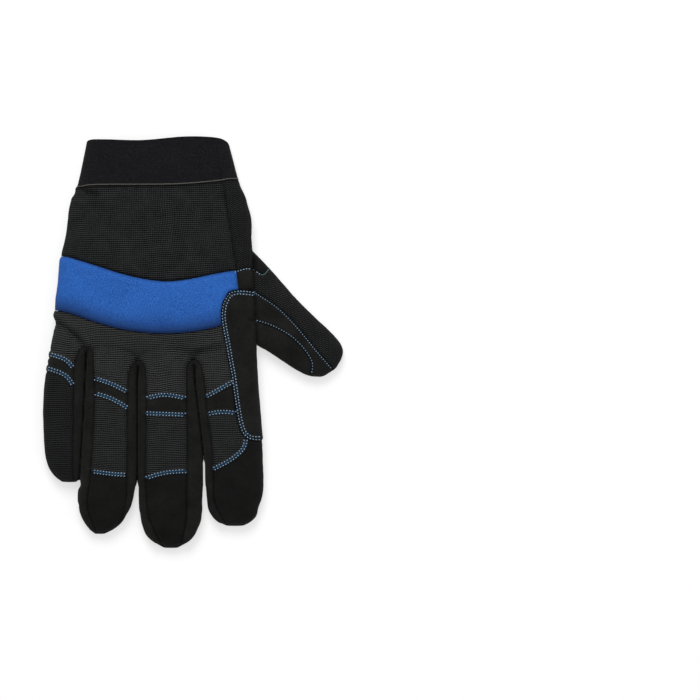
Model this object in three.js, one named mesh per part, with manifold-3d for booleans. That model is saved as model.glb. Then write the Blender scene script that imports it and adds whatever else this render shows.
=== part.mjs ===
// Winch glove, right hand, lying on its palm with the back of the hand up.
// Millimetres, +Z up. The cuff is at +Y, the fingertips at -Y and the thumb at +X.
// The glove is a hollow shell that is cut along its seams into the panels it is sewn from.
import * as THREE from "three";
import { mergeVertices } from "three/addons/utils/BufferGeometryUtils.js";
import Module from "manifold-3d";

const wasm = await Module();
wasm.setup();

// Driving sizes
const handLength = 134; // cuff rim to the crotches between the fingers
const handHeight = 22; // knuckles above the surface
const littleWidth = 25;
const littleLength = 79;
const ringWidth = 30.5;
const ringLength = 104;
const middleWidth = 33.5;
const middleLength = 110;
const indexWidth = 38;
const indexLength = 98;
const fingerHeight = 15;
const thumbWidth = 42;
const thumbLength = 87.5;
const thumbHeight = 14;
const thumbAngle = 46.4; // degrees from straight across the hand towards the fingertips
const wall = 1.6; // knit and suede
const bandPad = 1.2; // foam that lifts the knuckle band above the knit
const patchPad = 0.6; // second layer of suede along the index finger
const weltPad = 0.5; // bound edge that stands out of the cuff's foot
const weltWidth = 1.1;
const seamGap = 0.3; // clearance between two sewn panels
const palmRise = 6; // height of the seam between the palm and the back
const tipLift = 1.5; // fingertips curl up from the surface by this much
const seamOverrun = 0.05; // a cross seam runs past the side seams by this share of the width
const crotchHalf = 4.2; // half width of the turned-over edge at each crotch
const handDome = 12; // facets over the top of the hand's section
const fingerDome = 7; // facets over the top of a finger's section
const handStations = 15; // sections along the hand
const fingerStations = 10; // sections along a finger
const footSpread = 0.775; // flat foot of a section, as a share of its width
const reach = 60; // cutting tools reach this far above the surface
const outerReach = 0.15; // cross seams reach this share of the width past a finger's outer edge
const tipClearance = 4; // cutting outlines of the fourchettes end this far below the tips
const waistShare = 0.42; // height of a section's widest place, as a share of its height
const hipShare = 0.4; // height of the bend above a section's flat foot, as a share of its waist
const hipSpread = 0.945; // width of a section at that bend, as a share of its width
const sideCurl = 0.8; // lower numbers give a section rounder sides
const topCurl = 0.85; // lower numbers give a section a flatter top
const tipCrowding = 1.6; // higher numbers bring the sections closer together at the tip
const linePoints = 1.6; // points on a smooth line for each of its rows
const clearLeft = -0.3; // places clear of the glove, across and along the hand
const clearRight = 1.3;
const clearCuff = -0.3;
const clearTips = 2.2;

const knuckleWidth = littleWidth + ringWidth + middleWidth + indexWidth;

// Sections of the hand: along from the cuff's rim, left and right edges across the knuckles
const handRows = [
  { along: -0.06, left: 0.201, right: 0.863, height: 0.6 },
  { along: 0.0, left: 0.201, right: 0.863, height: 0.62 },
  { along: 0.094, left: 0.182, right: 0.887, height: 0.66 },
  { along: 0.21, left: 0.154, right: 0.92, height: 0.7 },
  { along: 0.256, left: 0.137, right: 0.943, height: 0.74 },
  { along: 0.3, left: 0.118, right: 0.957, height: 0.79 },
  { along: 0.363, left: 0.111, right: 0.975, height: 0.85 },
  { along: 0.444, left: 0.099, right: 0.976, height: 0.91 },
  { along: 0.525, left: 0.078, right: 0.981, height: 0.95 },
  { along: 0.655, left: 0.066, right: 0.986, height: 0.99 },
  { along: 0.767, left: 0.052, right: 0.99, height: 1.0 },
  { along: 0.857, left: 0.047, right: 0.995, height: 0.98 },
  { along: 0.924, left: 0.045, right: 0.994, height: 0.88 },
  { along: 0.964, left: 0.08, right: 0.981, height: 0.7 },
  { along: 1.0, left: 0.21, right: 0.957, height: 0.4 },
];

// Sections of each finger: along from its crotch, then its outer edges and the two seams
// of its back, as shares of its width at the crotch
const littleRows = [
  { along: -0.115, left: 0.205, right: 0.93, seamLeft: -0.4, seamRight: 0.73, height: 1.2 },
  { along: 0.0, left: 0.13, right: 0.98, seamLeft: -0.4, seamRight: 0.73, height: 1.18 },
  { along: 0.115, left: 0.06, right: 0.975, seamLeft: -0.4, seamRight: 0.72, height: 1.12 },
  { along: 0.267, left: -0.01, right: 0.955, seamLeft: -0.4, seamRight: 0.71, height: 1.06 },
  { along: 0.42, left: -0.036, right: 0.93, seamLeft: -0.4, seamRight: 0.7, height: 1.0 },
  { along: 0.573, left: -0.036, right: 0.9, seamLeft: -0.4, seamRight: 0.69, height: 0.96 },
  { along: 0.725, left: -0.02, right: 0.865, seamLeft: -0.4, seamRight: 0.68, height: 0.92 },
  { along: 0.84, left: 0.036, right: 0.84, seamLeft: -0.4, seamRight: 0.67, height: 0.88 },
  { along: 0.916, left: 0.13, right: 0.83, seamLeft: -0.4, seamRight: 0.67, height: 0.8 },
  { along: 0.97, left: 0.27, right: 0.82, seamLeft: -0.4, seamRight: 0.68, height: 0.66 },
  { along: 1.0, left: 0.4, right: 0.76, seamLeft: -0.4, seamRight: 0.7, height: 0.42 },
];
const ringRows = [
  { along: -0.116, left: 0.03, right: 0.97, seamLeft: 0.16, seamRight: 0.84, height: 1.2 },
  { along: 0.0, left: 0.01, right: 0.985, seamLeft: 0.16, seamRight: 0.84, height: 1.18 },
  { along: 0.23, left: -0.03, right: 0.985, seamLeft: 0.17, seamRight: 0.82, height: 1.08 },
  { along: 0.462, left: -0.07, right: 0.985, seamLeft: 0.14, seamRight: 0.8, height: 1.0 },
  { along: 0.694, left: -0.13, right: 0.975, seamLeft: 0.07, seamRight: 0.8, height: 0.94 },
  { along: 0.81, left: -0.155, right: 0.895, seamLeft: 0.03, seamRight: 0.78, height: 0.89 },
  { along: 0.879, left: -0.135, right: 0.8, seamLeft: 0.03, seamRight: 0.73, height: 0.83 },
  { along: 0.936, left: -0.05, right: 0.69, seamLeft: 0.07, seamRight: 0.65, height: 0.73 },
  { along: 0.977, left: 0.06, right: 0.52, seamLeft: 0.14, seamRight: 0.58, height: 0.58 },
  { along: 1.0, left: 0.15, right: 0.36, seamLeft: 0.2, seamRight: 0.54, height: 0.4 },
];
const middleRows = [
  { along: -0.104, left: 0.03, right: 0.96, seamLeft: 0.17, seamRight: 0.88, height: 1.2 },
  { along: 0.0, left: 0.01, right: 0.98, seamLeft: 0.17, seamRight: 0.88, height: 1.18 },
  { along: 0.197, left: 0.01, right: 1.045, seamLeft: 0.17, seamRight: 0.884, height: 1.08 },
  { along: 0.415, left: 0.01, right: 1.13, seamLeft: 0.16, seamRight: 0.893, height: 1.0 },
  { along: 0.536, left: 0.01, right: 1.175, seamLeft: 0.152, seamRight: 0.893, height: 0.97 },
  { along: 0.645, left: 0.015, right: 1.175, seamLeft: 0.152, seamRight: 0.89, height: 0.94 },
  { along: 0.77, left: 0.035, right: 1.146, seamLeft: 0.18, seamRight: 0.884, height: 0.9 },
  { along: 0.852, left: 0.077, right: 1.118, seamLeft: 0.223, seamRight: 0.875, height: 0.85 },
  { along: 0.918, left: 0.14, right: 1.035, seamLeft: 0.286, seamRight: 0.84, height: 0.76 },
  { along: 0.967, left: 0.28, right: 0.91, seamLeft: 0.39, seamRight: 0.8, height: 0.62 },
  { along: 1.0, left: 0.46, right: 0.72, seamLeft: 0.46, seamRight: 0.76, height: 0.4 },
];
const indexRows = [
  { along: -0.123, left: 0.04, right: 0.976, seamLeft: 0.19, seamRight: 1.4, height: 1.2 },
  { along: 0.0, left: 0.015, right: 0.985, seamLeft: 0.19, seamRight: 1.4, height: 1.18 },
  { along: 0.233, left: 0.075, right: 1.03, seamLeft: 0.2, seamRight: 1.4, height: 1.08 },
  { along: 0.4785, left: 0.153, right: 1.08, seamLeft: 0.29, seamRight: 1.4, height: 1.0 },
  { along: 0.613, left: 0.17, right: 1.095, seamLeft: 0.31, seamRight: 1.4, height: 0.97 },
  { along: 0.724, left: 0.178, right: 1.107, seamLeft: 0.32, seamRight: 1.4, height: 0.94 },
  { along: 0.816, left: 0.208, right: 1.09, seamLeft: 0.33, seamRight: 1.4, height: 0.9 },
  { along: 0.89, left: 0.242, right: 1.025, seamLeft: 0.35, seamRight: 1.4, height: 0.83 },
  { along: 0.945, left: 0.305, right: 0.985, seamLeft: 0.4, seamRight: 1.4, height: 0.73 },
  { along: 0.982, left: 0.41, right: 0.885, seamLeft: 0.47, seamRight: 1.4, height: 0.58 },
  { along: 1.0, left: 0.51, right: 0.79, seamLeft: 0.52, seamRight: 1.4, height: 0.4 },
];

// Sections of the thumb: along from where its back leaves the hand, edges across its width
const thumbRows = [
  { along: 0.0, left: 0.045, right: 0.7, height: 0.86 },
  { along: 0.15, left: 0.04, right: 0.88, height: 0.95 },
  { along: 0.31, left: 0.048, right: 0.965, height: 1.0 },
  { along: 0.45, left: 0.062, right: 0.965, height: 1.0 },
  { along: 0.61, left: 0.056, right: 0.874, height: 1.0 },
  { along: 0.8, left: 0.036, right: 0.783, height: 0.96 },
  { along: 0.875, left: 0.04, right: 0.735, height: 0.9 },
  { along: 0.921, left: 0.06, right: 0.686, height: 0.82 },
  { along: 0.958, left: 0.107, right: 0.62, height: 0.7 },
  { along: 0.987, left: 0.207, right: 0.54, height: 0.55 },
  { along: 1.0, left: 0.31, right: 0.4, height: 0.4 },
];

// Seams of the hand: across the knuckles from the little finger, along from the rim
const rimLine = [
  { across: 0.187, along: 0.09 },
  { across: 0.192, along: 0.035 },
  { across: 0.215, along: 0.01 },
  { across: 0.29, along: 0.008 },
  { across: 0.46, along: 0.012 },
  { across: 0.66, along: -0.004 },
  { across: 0.8, along: -0.001 },
  { across: 0.853, along: 0.014 },
  { across: 0.872, along: 0.04 },
  { across: 0.885, along: 0.09 },
];
const cuffLine = [
  { across: -0.1, along: 0.229 },
  { across: 0.15, along: 0.219 },
  { across: 0.24, along: 0.21 },
  { across: 0.56, along: 0.209 },
  { across: 0.7, along: 0.203 },
  { across: 0.824, along: 0.191 },
  { across: 0.9, along: 0.182 },
  { across: 1.1, along: 0.194 },
];
const bandTop = [
  { across: -0.1, along: 0.52 },
  { across: 0.0875, along: 0.53 },
  { across: 0.163, along: 0.547 },
  { across: 0.258, along: 0.575 },
  { across: 0.376, along: 0.61 },
  { across: 0.494, along: 0.6345 },
  { across: 0.589, along: 0.642 },
  { across: 0.683, along: 0.632 },
  { across: 0.8, along: 0.609 },
  { across: 0.872, along: 0.597 },
  { across: 0.905, along: 0.593 },
];
const bandFoot = [
  { across: 0.92, along: 0.69 },
  { across: 0.92, along: 0.8 },
  { across: 0.844, along: 0.8355 },
  { across: 0.787, along: 0.851 },
  { across: 0.683, along: 0.868 },
  { across: 0.565, along: 0.874 },
  { across: 0.47, along: 0.869 },
  { across: 0.352, along: 0.852 },
  { across: 0.234, along: 0.82 },
  { across: 0.1395, along: 0.789 },
  { across: 0.059, along: 0.772 },
  { across: -0.1, along: 0.76 },
];
const sideLine = [
  { across: 0.828, along: 0.15 },
  { across: 0.853, along: 0.27 },
  { across: 0.872, along: 0.386 },
  { across: 0.891, along: 0.498 },
  { across: 0.905, along: 0.593 },
  { across: 0.92, along: 0.72 },
];
const gussetLine = [
  { across: 0.893, along: 0.598 },
  { across: 0.95, along: 0.582 },
  { across: 0.975, along: 0.584 },
  { across: 0.9976, along: 0.5935 },
  { across: 1.015, along: 0.605 },
  { across: 1.029, along: 0.61 },
  { across: 1.049, along: 0.59 },
  { across: 1.053, along: 0.57 },
  { across: 1.062, along: 0.53 },
];
const patchLine = [
  { across: 0.9885, along: 0.6845 },
  { across: 0.957, along: 0.6816 },
  { across: 0.91, along: 0.6796 },
  { across: 0.87, along: 0.692 },
  { across: 0.85, along: 0.7215 },
  { across: 0.838, along: 0.753 },
  { across: 0.8335, along: 0.798 },
  { across: 0.8416, along: 0.857 },
  { across: 0.855, along: 0.924 },
  { across: 0.867, along: 0.991 },
  { across: 0.88, along: 1.058 },
  { across: 0.891, along: 1.135 },
  { across: 0.9035, along: 1.215 },
  { across: 0.9175, along: 1.283 },
  { across: 0.935, along: 1.323 },
  { across: 0.962, along: 1.345 },
  { across: 1.0, along: 1.352 },
  { across: 1.06, along: 1.35 },
];
const patchOuterEdge = [
  { across: 1.06, along: 1.0 },
  { across: 1.006, along: 0.98 },
  { across: 1.0, along: 0.928 },
  { across: 0.996, along: 0.834 },
  { across: 0.99, along: 0.722 },
];
const thumbRoot = [
  { across: 0.974, along: 0.44 },
  { across: 0.979, along: 0.5 },
  { across: 0.985, along: 0.61 },
  { across: 0.99, along: 0.722 },
  { across: 0.996, along: 0.834 },
  { across: 1.0, along: 0.928 },
  { across: 1.008, along: 0.985 },
];
const littleFold = [
  { across: -0.1, along: 0.78 },
  { across: 0.02, along: 0.808 },
  { across: 0.0686, along: 0.825 },
  { across: 0.125, along: 0.861 },
  { across: 0.173, along: 0.906 },
  { across: 0.205, along: 0.945 },
];
const thumbOuterLine = [
  { across: 0.96, along: 0.675 },
  { across: 0.99, along: 0.687 },
  { across: 1.033, along: 0.713 },
  { across: 1.095, along: 0.753 },
  { across: 1.161, along: 0.812 },
  { across: 1.227, along: 0.883 },
  { across: 1.288, along: 0.955 },
  { across: 1.37, along: 1.045 },
];
const thumbInnerLine = [
  { across: 0.96, along: 0.81 },
  { across: 0.986, along: 0.816 },
  { across: 1.038, along: 0.83 },
  { across: 1.099, along: 0.854 },
  { across: 1.161, along: 0.89 },
  { across: 1.213, along: 0.937 },
  { across: 1.246, along: 0.982 },
  { across: 1.258, along: 1.02 },
  { across: 1.24, along: 1.1 },
];

// Seams across each finger's back: along its length, at its left seam, middle and right seam
const crossSeams = {
  little: [
    { name: "strip_top", left: 0.01, middle: 0.07, right: 0.165 },
    { name: "strip_foot", left: 0.12, middle: 0.188, right: 0.3 },
  ],
  ring: [
    { name: "strip_top", left: 0.1, middle: 0.136, right: 0.192 },
    { name: "strip_foot", left: 0.187, middle: 0.22, right: 0.283 },
    { name: "tip", left: 0.635, middle: 0.653, right: 0.66 },
  ],
  middle: [
    { name: "strip_top", left: 0.19, middle: 0.167, right: 0.19 },
    { name: "strip_foot", left: 0.267, middle: 0.2705, right: 0.277 },
    { name: "tip", left: 0.625, middle: 0.59, right: 0.58 },
  ],
  index: [
    { name: "strip_top", left: 0.223, middle: 0.148, right: 0.038 },
    { name: "strip_foot", left: 0.32, middle: 0.304, right: 0.33 },
  ],
};
const indexTipLine = [
  { across: 0.2, along: 0.68 },
  { across: 0.3, along: 0.656 },
  { across: 0.54, along: 0.607 },
  { across: 0.714, along: 0.558 },
  { across: 0.81, along: 0.509 },
  { across: 0.845, along: 0.42 },
];

// Tops of the turned-over edges at the three crotches
const crotches = [
  { across: 0.197, along: 0.926, leftRow: 0.12, rightRow: 0.06 },
  { across: 0.442, along: 0.991, leftRow: 0.1, rightRow: 0.09 },
  { across: 0.705, along: 0.987, leftRow: 0.09, rightRow: 0.14 },
];

const black = { knit: 0x1b1d1d, suede: 0x161615, elastic: 0x141417 };
const finishes = {
  knit: { color: black.knit, roughness: 0.9, metalness: 0 },
  suede: { color: black.suede, roughness: 0.8, metalness: 0 },
  elastic: { color: black.elastic, roughness: 0.85, metalness: 0 },
  foam: { color: 0x1d4fb4, roughness: 0.75, metalness: 0 },
  welt: { color: 0x5c5852, roughness: 0.7, metalness: 0 },
};

// The value of a column at a place along the hand or a finger, on a smooth line through the rows
function follow(rows, column, along) {
  const last = rows.length - 1;
  let i = 0;
  while (i < last - 1 && along > rows[i + 1].along) i++;
  const slope = (a, b) => (rows[b][column] - rows[a][column]) / (rows[b].along - rows[a].along);
  const slopeAt = (k) => slope(Math.max(k - 1, 0), Math.min(k + 1, last));
  const span = rows[i + 1].along - rows[i].along;
  const t = THREE.MathUtils.clamp((along - rows[i].along) / span, 0, 1);
  const [from, to] = [rows[i][column], rows[i + 1][column]];
  const [leave, arrive] = [slopeAt(i) * span, slopeAt(i + 1) * span];
  const bend = 2 * (from - to) + leave + arrive;
  return from + leave * t + (-3 * from + 3 * to - 2 * leave - arrive) * t * t + bend * t * t * t;
}

// A limb is a flattened tube: where it starts, which way it runs, and its sections
function limb(rows, origin, along, across, length, width, height, dome, stations, lift) {
  return { rows, origin, along, across, length, width, height, dome, stations, lift };
}

function spotOn(part, across, along) {
  return part.origin
    .clone()
    .addScaledVector(part.along, along * part.length)
    .addScaledVector(part.across, across * part.width);
}

const down = new THREE.Vector2(0, -1);
const right = new THREE.Vector2(1, 0);
const hand = limb(
  handRows, new THREE.Vector2(0, 0), down, right,
  handLength, knuckleWidth, handHeight, handDome, handStations, 0,
);

function finger(rows, before, crotchAlong, length, width) {
  const root = new THREE.Vector2(before, -crotchAlong * handLength);
  return limb(
    rows, root, down, right,
    length, width, fingerHeight, fingerDome, fingerStations, tipLift,
  );
}

const fingers = {
  little: finger(littleRows, 0, 0.946, littleLength, littleWidth),
  ring: finger(ringRows, littleWidth, 0.991, ringLength, ringWidth),
  middle: finger(middleRows, littleWidth + ringWidth, 1.009, middleLength, middleWidth),
  index: finger(indexRows, knuckleWidth - indexWidth, 1.0, indexLength, indexWidth),
};

const thumbTurn = THREE.MathUtils.degToRad(thumbAngle);
const thumbRun = new THREE.Vector2(Math.cos(thumbTurn), -Math.sin(thumbTurn));
const thumb = limb(
  thumbRows, spotOn(hand, 0.976, 0.48), thumbRun, new THREE.Vector2(thumbRun.y, -thumbRun.x),
  thumbLength, thumbWidth, thumbHeight, fingerDome, fingerStations, tipLift,
);

// One section of a tube: a flat foot, rounded sides and a domed top, grown by outset
function sectionRing(part, along, outset) {
  const start = spotOn(part, 0, along * (1 + outset / part.length));
  const leftEdge = follow(part.rows, "left", along) * part.width - outset;
  const rightEdge = follow(part.rows, "right", along) * part.width + outset;
  const middle = (leftEdge + rightEdge) / 2;
  const half = Math.max((rightEdge - leftEdge) / 2, 0.6);
  const full = follow(part.rows, "height", along) * part.height;
  const tip = THREE.MathUtils.clamp((along - 0.85) / 0.15, 0, 1);
  const foot = part.lift * tip * tip + Math.max(-outset, 0);
  const top = Math.max(full + outset, foot + 0.8);
  const waist = foot + waistShare * (top - foot);
  const outline = [];
  for (let i = 0; i <= part.dome; i++) {
    const turn = (Math.PI * i) / part.dome;
    const side = Math.sign(Math.cos(turn)) * Math.abs(Math.cos(turn)) ** sideCurl;
    outline.push([side, waist + (top - waist) * Math.abs(Math.sin(turn)) ** topCurl]);
  }
  const hip = foot + hipShare * (waist - foot);
  outline.push([-hipSpread, hip], [-footSpread, foot], [footSpread, foot], [hipSpread, hip]);
  return outline.map(([side, height]) => {
    const at = start.clone().addScaledVector(part.across, middle + half * side);
    return new THREE.Vector3(at.x, at.y, height);
  });
}

// A closed tube through rings of equal point counts, capped at both ends
function loft(rings) {
  const span = rings[0].length;
  const centre = (ring) =>
    ring.reduce((sum, p) => sum.add(p), new THREE.Vector3()).divideScalar(span);
  const points = [...rings.flat(), centre(rings[0]), centre(rings[rings.length - 1])];
  const [startCap, endCap] = [points.length - 2, points.length - 1];
  const faces = [];
  for (let j = 0; j < rings.length - 1; j++) {
    for (let i = 0; i < span; i++) {
      const [a, b] = [j * span + i, j * span + ((i + 1) % span)];
      faces.push(a, b, a + span, b, b + span, a + span);
    }
  }
  const lastRing = (rings.length - 1) * span;
  for (let i = 0; i < span; i++) {
    const next = (i + 1) % span;
    faces.push(next, i, startCap, lastRing + i, lastRing + next, endCap);
  }
  const geometry = new THREE.BufferGeometry().setFromPoints(points);
  geometry.setIndex(faces);
  return geometry;
}

// A three.js geometry as a solid that can be joined and cut
function solidFrom(geometry) {
  const bare = geometry.clone();
  bare.deleteAttribute("normal");
  bare.deleteAttribute("uv");
  const merged = mergeVertices(bare, 1e-5);
  const positions = merged.attributes.position.array;
  const made = (triVerts) =>
    new wasm.Manifold(new wasm.Mesh({ numProp: 3, vertProperties: positions, triVerts }));
  const faces = new Uint32Array(merged.index.array);
  const solid = made(faces);
  return solid.volume() > 0 ? solid : made(faces.reverse());
}

function geometryFrom(solid) {
  const mesh = solid.getMesh();
  const geometry = new THREE.BufferGeometry();
  const positions = new Float32Array(mesh.vertProperties);
  geometry.setAttribute("position", new THREE.BufferAttribute(positions, 3));
  geometry.setIndex(new THREE.BufferAttribute(new Uint32Array(mesh.triVerts), 1));
  geometry.computeVertexNormals();
  return geometry;
}

function limbSolid(part, outset) {
  const first = part.rows[0].along;
  const rings = [];
  for (let i = 0; i <= part.stations; i++) {
    const share = 1 - (1 - i / part.stations) ** tipCrowding;
    rings.push(sectionRing(part, first + (1 - first) * share, outset));
  }
  return solidFrom(loft(rings));
}

function joined(solids) {
  return solids.reduce((all, solid) => all.add(solid));
}

// The whole glove's form, grown by outset, with no seams
function form(outset) {
  return joined([hand, thumb, ...Object.values(fingers)].map((part) => limbSolid(part, outset)));
}

function smoothLine(points) {
  return new THREE.SplineCurve(points).getPoints(Math.round((points.length - 1) * linePoints));
}

function handLine(rows) {
  return rows.map((row) => spotOn(hand, row.across, row.along));
}

function prism(outline, bottom = palmRise, top = reach) {
  const options = { depth: top - bottom, bevelEnabled: false };
  const geometry = new THREE.ExtrudeGeometry(new THREE.Shape(outline), options);
  return solidFrom(geometry.translate(0, 0, bottom));
}

// An upright blade along a line, which cuts a seam of that width
function blade(line, width = seamGap, bottom = palmRise, top = reach) {
  const offset = (side) =>
    line.map((point, i) => {
      const before = line[Math.max(i - 1, 0)];
      const after = line[Math.min(i + 1, line.length - 1)];
      const run = after.clone().sub(before).normalize();
      return new THREE.Vector2(-run.y, run.x).multiplyScalar((side * width) / 2).add(point);
    });
  return prism([...offset(1), ...offset(-1).reverse()], bottom, top);
}

// The seam at one side of a finger's back, from the crotch to the tip
function backSeam(part, column, from, to = 1) {
  const rows = [];
  const seamSteps = 6;
  for (let i = 0; i <= seamSteps; i++) {
    const along = from + (to - from) * (i / seamSteps);
    rows.push(spotOn(part, follow(part.rows, column, along), along));
  }
  rows.push(spotOn(part, follow(part.rows, column, 1), to + 0.06));
  return rows;
}

// The strip between two fingers: down one finger's side, round the crotch and up the next
function fourchetteOutline(left, right, crotch) {
  const top = spotOn(hand, crotch.across, crotch.along);
  const shoulder = (side) =>
    new THREE.Vector2(top.x + side * crotchHalf, top.y - 0.9 * crotchHalf);
  const leftSeam = backSeam(left, "seamRight", crotch.leftRow).reverse();
  const rightSeam = backSeam(right, "seamLeft", crotch.rightRow);
  return smoothLine([...leftSeam, shoulder(-1), top, shoulder(1), ...rightSeam]);
}

const outlines = {
  knuckle_band: [
    ...smoothLine(handLine(bandTop)),
    ...smoothLine(handLine(bandFoot)),
  ],
  index_patch: [
    ...smoothLine(handLine(patchLine)),
    ...handLine(patchOuterEdge),
  ],
  fourchette_little_ring: fourchetteOutline(fingers.little, fingers.ring, crotches[0]),
  fourchette_ring_middle: fourchetteOutline(fingers.ring, fingers.middle, crotches[1]),
  fourchette_middle_index: fourchetteOutline(fingers.middle, fingers.index, crotches[2]),
};

// Closes a fourchette's outline below the tips, through the gap between its two fingers
function closedBelow(outline) {
  const lowest = Math.min(...outline.map((point) => point.y)) - tipClearance;
  const [start, end] = [outline[0], outline[outline.length - 1]];
  return [...outline, new THREE.Vector2(end.x, lowest), new THREE.Vector2(start.x, lowest)];
}

// Everything between two heights
function slab(bottom, top) {
  const geometry = new THREE.BoxGeometry(4 * knuckleWidth, 6 * handLength, top - bottom);
  return solidFrom(geometry.translate(0, 0, (bottom + top) / 2));
}

// Everything on the wrist's side of a line across the hand, with the line moved along the hand
function wristSide(line, shift) {
  const edge = line.map((point) => new THREE.Vector2(point.x, point.y - shift));
  const corners = [spotOn(hand, clearRight, clearCuff), spotOn(hand, clearLeft, clearCuff)];
  return prism([...edge, ...corners], -reach, reach);
}

const cavity = form(-wall);
const shellOf = (outset) => form(outset).subtract(cavity);
const shell = shellOf(0);

// Cuff and its bound edge, trimmed along the wavy rim
const rim = smoothLine(handLine(rimLine));
const cuffFoot = smoothLine(handLine(cuffLine));
const beyondTips = [spotOn(hand, clearRight, clearTips), spotOn(hand, clearLeft, clearTips)];
const fingerSide = prism([...rim, ...beyondTips], -reach, reach);
const cuff = shell.intersect(wristSide(cuffFoot, -seamGap)).intersect(fingerSide);
const welt = shellOf(weltPad)
  .intersect(wristSide(cuffFoot, weltWidth))
  .subtract(wristSide(cuffFoot, 0));
const sewn = shell.subtract(wristSide(cuffFoot, weltWidth + seamGap));

// Palm and back part at a level seam, and the thumb is set in with a seam of its own
const rootCut = blade(smoothLine(handLine(thumbRoot)), seamGap, -reach, reach);
const palmHalf = slab(-reach, palmRise - seamGap / 2);
const backHalf = slab(palmRise + seamGap / 2, reach);
const lower = sewn.intersect(palmHalf).subtract(rootCut);
const upper = sewn.intersect(backHalf).subtract(rootCut);

// Panels laid over the back come out of it first, each with its clearance
const sideEdge = smoothLine(handLine(sideLine));
const sideEnds = [sideLine[sideLine.length - 1].along, sideLine[0].along];
const sideZone = prism([...sideEdge, ...sideEnds.map((along) => spotOn(hand, clearRight, along))]);
const sideCut = sideZone.add(blade(sideEdge, 2 * seamGap));
const patchZone = prism(outlines.index_patch);
const patchCut = patchZone.add(blade(outlines.index_patch, 2 * seamGap));
const patch = shellOf(patchPad).intersect(backHalf).intersect(patchZone).subtract(rootCut);
const bandZone = prism(outlines.knuckle_band);
const bandCut = bandZone.add(blade(outlines.knuckle_band, 2 * seamGap));
const band = shellOf(bandPad)
  .intersect(backHalf)
  .intersect(bandZone)
  .subtract(patchCut)
  .subtract(sideCut);
let back = upper.subtract(patchCut).subtract(bandCut.subtract(sideZone));

const fourchettes = {};
for (const name of ["little_ring", "ring_middle", "middle_index"]) {
  const outline = closedBelow(outlines["fourchette_" + name]);
  const zone = prism(outline);
  fourchettes["fourchette_" + name] = upper.intersect(zone);
  back = back.subtract(zone).subtract(blade(outline, 2 * seamGap));
}

// Then the plain seams of the back
function crossLine(part, seam) {
  const from = Math.max(follow(part.rows, "seamLeft", seam.left) - seamOverrun, -outerReach);
  const to = Math.min(follow(part.rows, "seamRight", seam.right) + seamOverrun, 1);
  const ends = [spotOn(part, from, seam.left), spotOn(part, to, seam.right)];
  return [ends[0], spotOn(part, 0.5, seam.middle), ends[1]];
}

const plainSeams = [
  ...[sideLine, gussetLine, littleFold, thumbOuterLine, thumbInnerLine].map(handLine),
  indexTipLine.map((row) => spotOn(fingers.index, row.across, row.along)),
];
for (const [name, seams] of Object.entries(crossSeams)) {
  for (const seam of seams) plainSeams.push(crossLine(fingers[name], seam));
}
for (const line of plainSeams) back = back.subtract(blade(smoothLine(line)));

// Panels of the back, each found by a spot on it: the part of the hand, across and along it
const { little, ring, middle, index } = fingers;
const backPanels = {
  back_panel: { on: hand, across: 0.5, along: 0.4, finish: "knit" },
  side_panel: { on: hand, across: 0.93, along: 0.4, finish: "knit" },
  thumb_gusset: { on: hand, across: 0.945, along: 0.63, finish: "suede" },
  knuckle_panel: { on: hand, across: 0.5, along: 0.93, finish: "knit" },
  little_root: { on: hand, across: 0.1, along: 0.89, finish: "knit" },
  little_strip: { on: little, across: 0.35, along: 0.1, finish: "suede" },
  ring_strip: { on: ring, across: 0.5, along: 0.18, finish: "suede" },
  middle_strip: { on: middle, across: 0.5, along: 0.22, finish: "suede" },
  index_strip: { on: index, across: 0.45, along: 0.24, finish: "suede" },
  little_back: { on: little, across: 0.4, along: 0.6, finish: "knit" },
  ring_back: { on: ring, across: 0.45, along: 0.45, finish: "knit" },
  middle_back: { on: middle, across: 0.5, along: 0.45, finish: "knit" },
  index_back: { on: index, across: 0.5, along: 0.45, finish: "knit" },
  ring_tip: { on: ring, across: 0.3, along: 0.8, finish: "suede" },
  middle_tip: { on: middle, across: 0.5, along: 0.8, finish: "suede" },
  index_tip: { on: index, across: 0.7, along: 0.8, finish: "suede" },
  thumb_heel: { on: thumb, across: 0.15, along: 0.13, finish: "suede" },
  thumb_back: { on: thumb, across: 0.2, along: 0.6, finish: "knit" },
  thumb_strip: { on: thumb, across: 0.5, along: 0.6, finish: "suede" },
  thumb_inner: { on: thumb, across: 0.8, along: 0.55, finish: "suede" },
};
const lowerPanels = {
  palm: { on: hand, across: 0.5, along: 0.8, finish: "suede" },
  thumb_palm: { on: thumb, across: 0.4, along: 0.6, finish: "suede" },
};
const patchPanel = { on: hand, across: 0.93, along: 0.9, finish: "suede" };

const glove = new THREE.Group();

function addPiece(name, solid, finish) {
  const mesh = new THREE.Mesh(geometryFrom(solid), new THREE.MeshStandardMaterial(finishes[finish]));
  mesh.name = name;
  glove.add(mesh);
}

// The one of several pieces that lies over or under a spot
function pieceAt(solid, panel) {
  const at = spotOn(panel.on, panel.across, panel.along);
  const probe = new THREE.CylinderGeometry(1, 1, 2 * reach, 8).rotateX(Math.PI / 2);
  const needle = solidFrom(probe.translate(at.x, at.y, 0));
  const pieces = solid.decompose();
  const shares = pieces.map((piece) => piece.intersect(needle).volume());
  return pieces[shares.indexOf(Math.max(...shares))];
}

addPiece("cuff", cuff, "elastic");
addPiece("cuff_welt", welt, "welt");
addPiece("knuckle_band", band, "foam");
addPiece("index_patch", pieceAt(patch, patchPanel), patchPanel.finish);
for (const [name, solid] of Object.entries(fourchettes)) addPiece(name, solid, "suede");
for (const [name, panel] of Object.entries(backPanels)) {
  addPiece(name, pieceAt(back, panel), panel.finish);
}
for (const [name, panel] of Object.entries(lowerPanels)) {
  addPiece(name, pieceAt(lower, panel), panel.finish);
}

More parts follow.
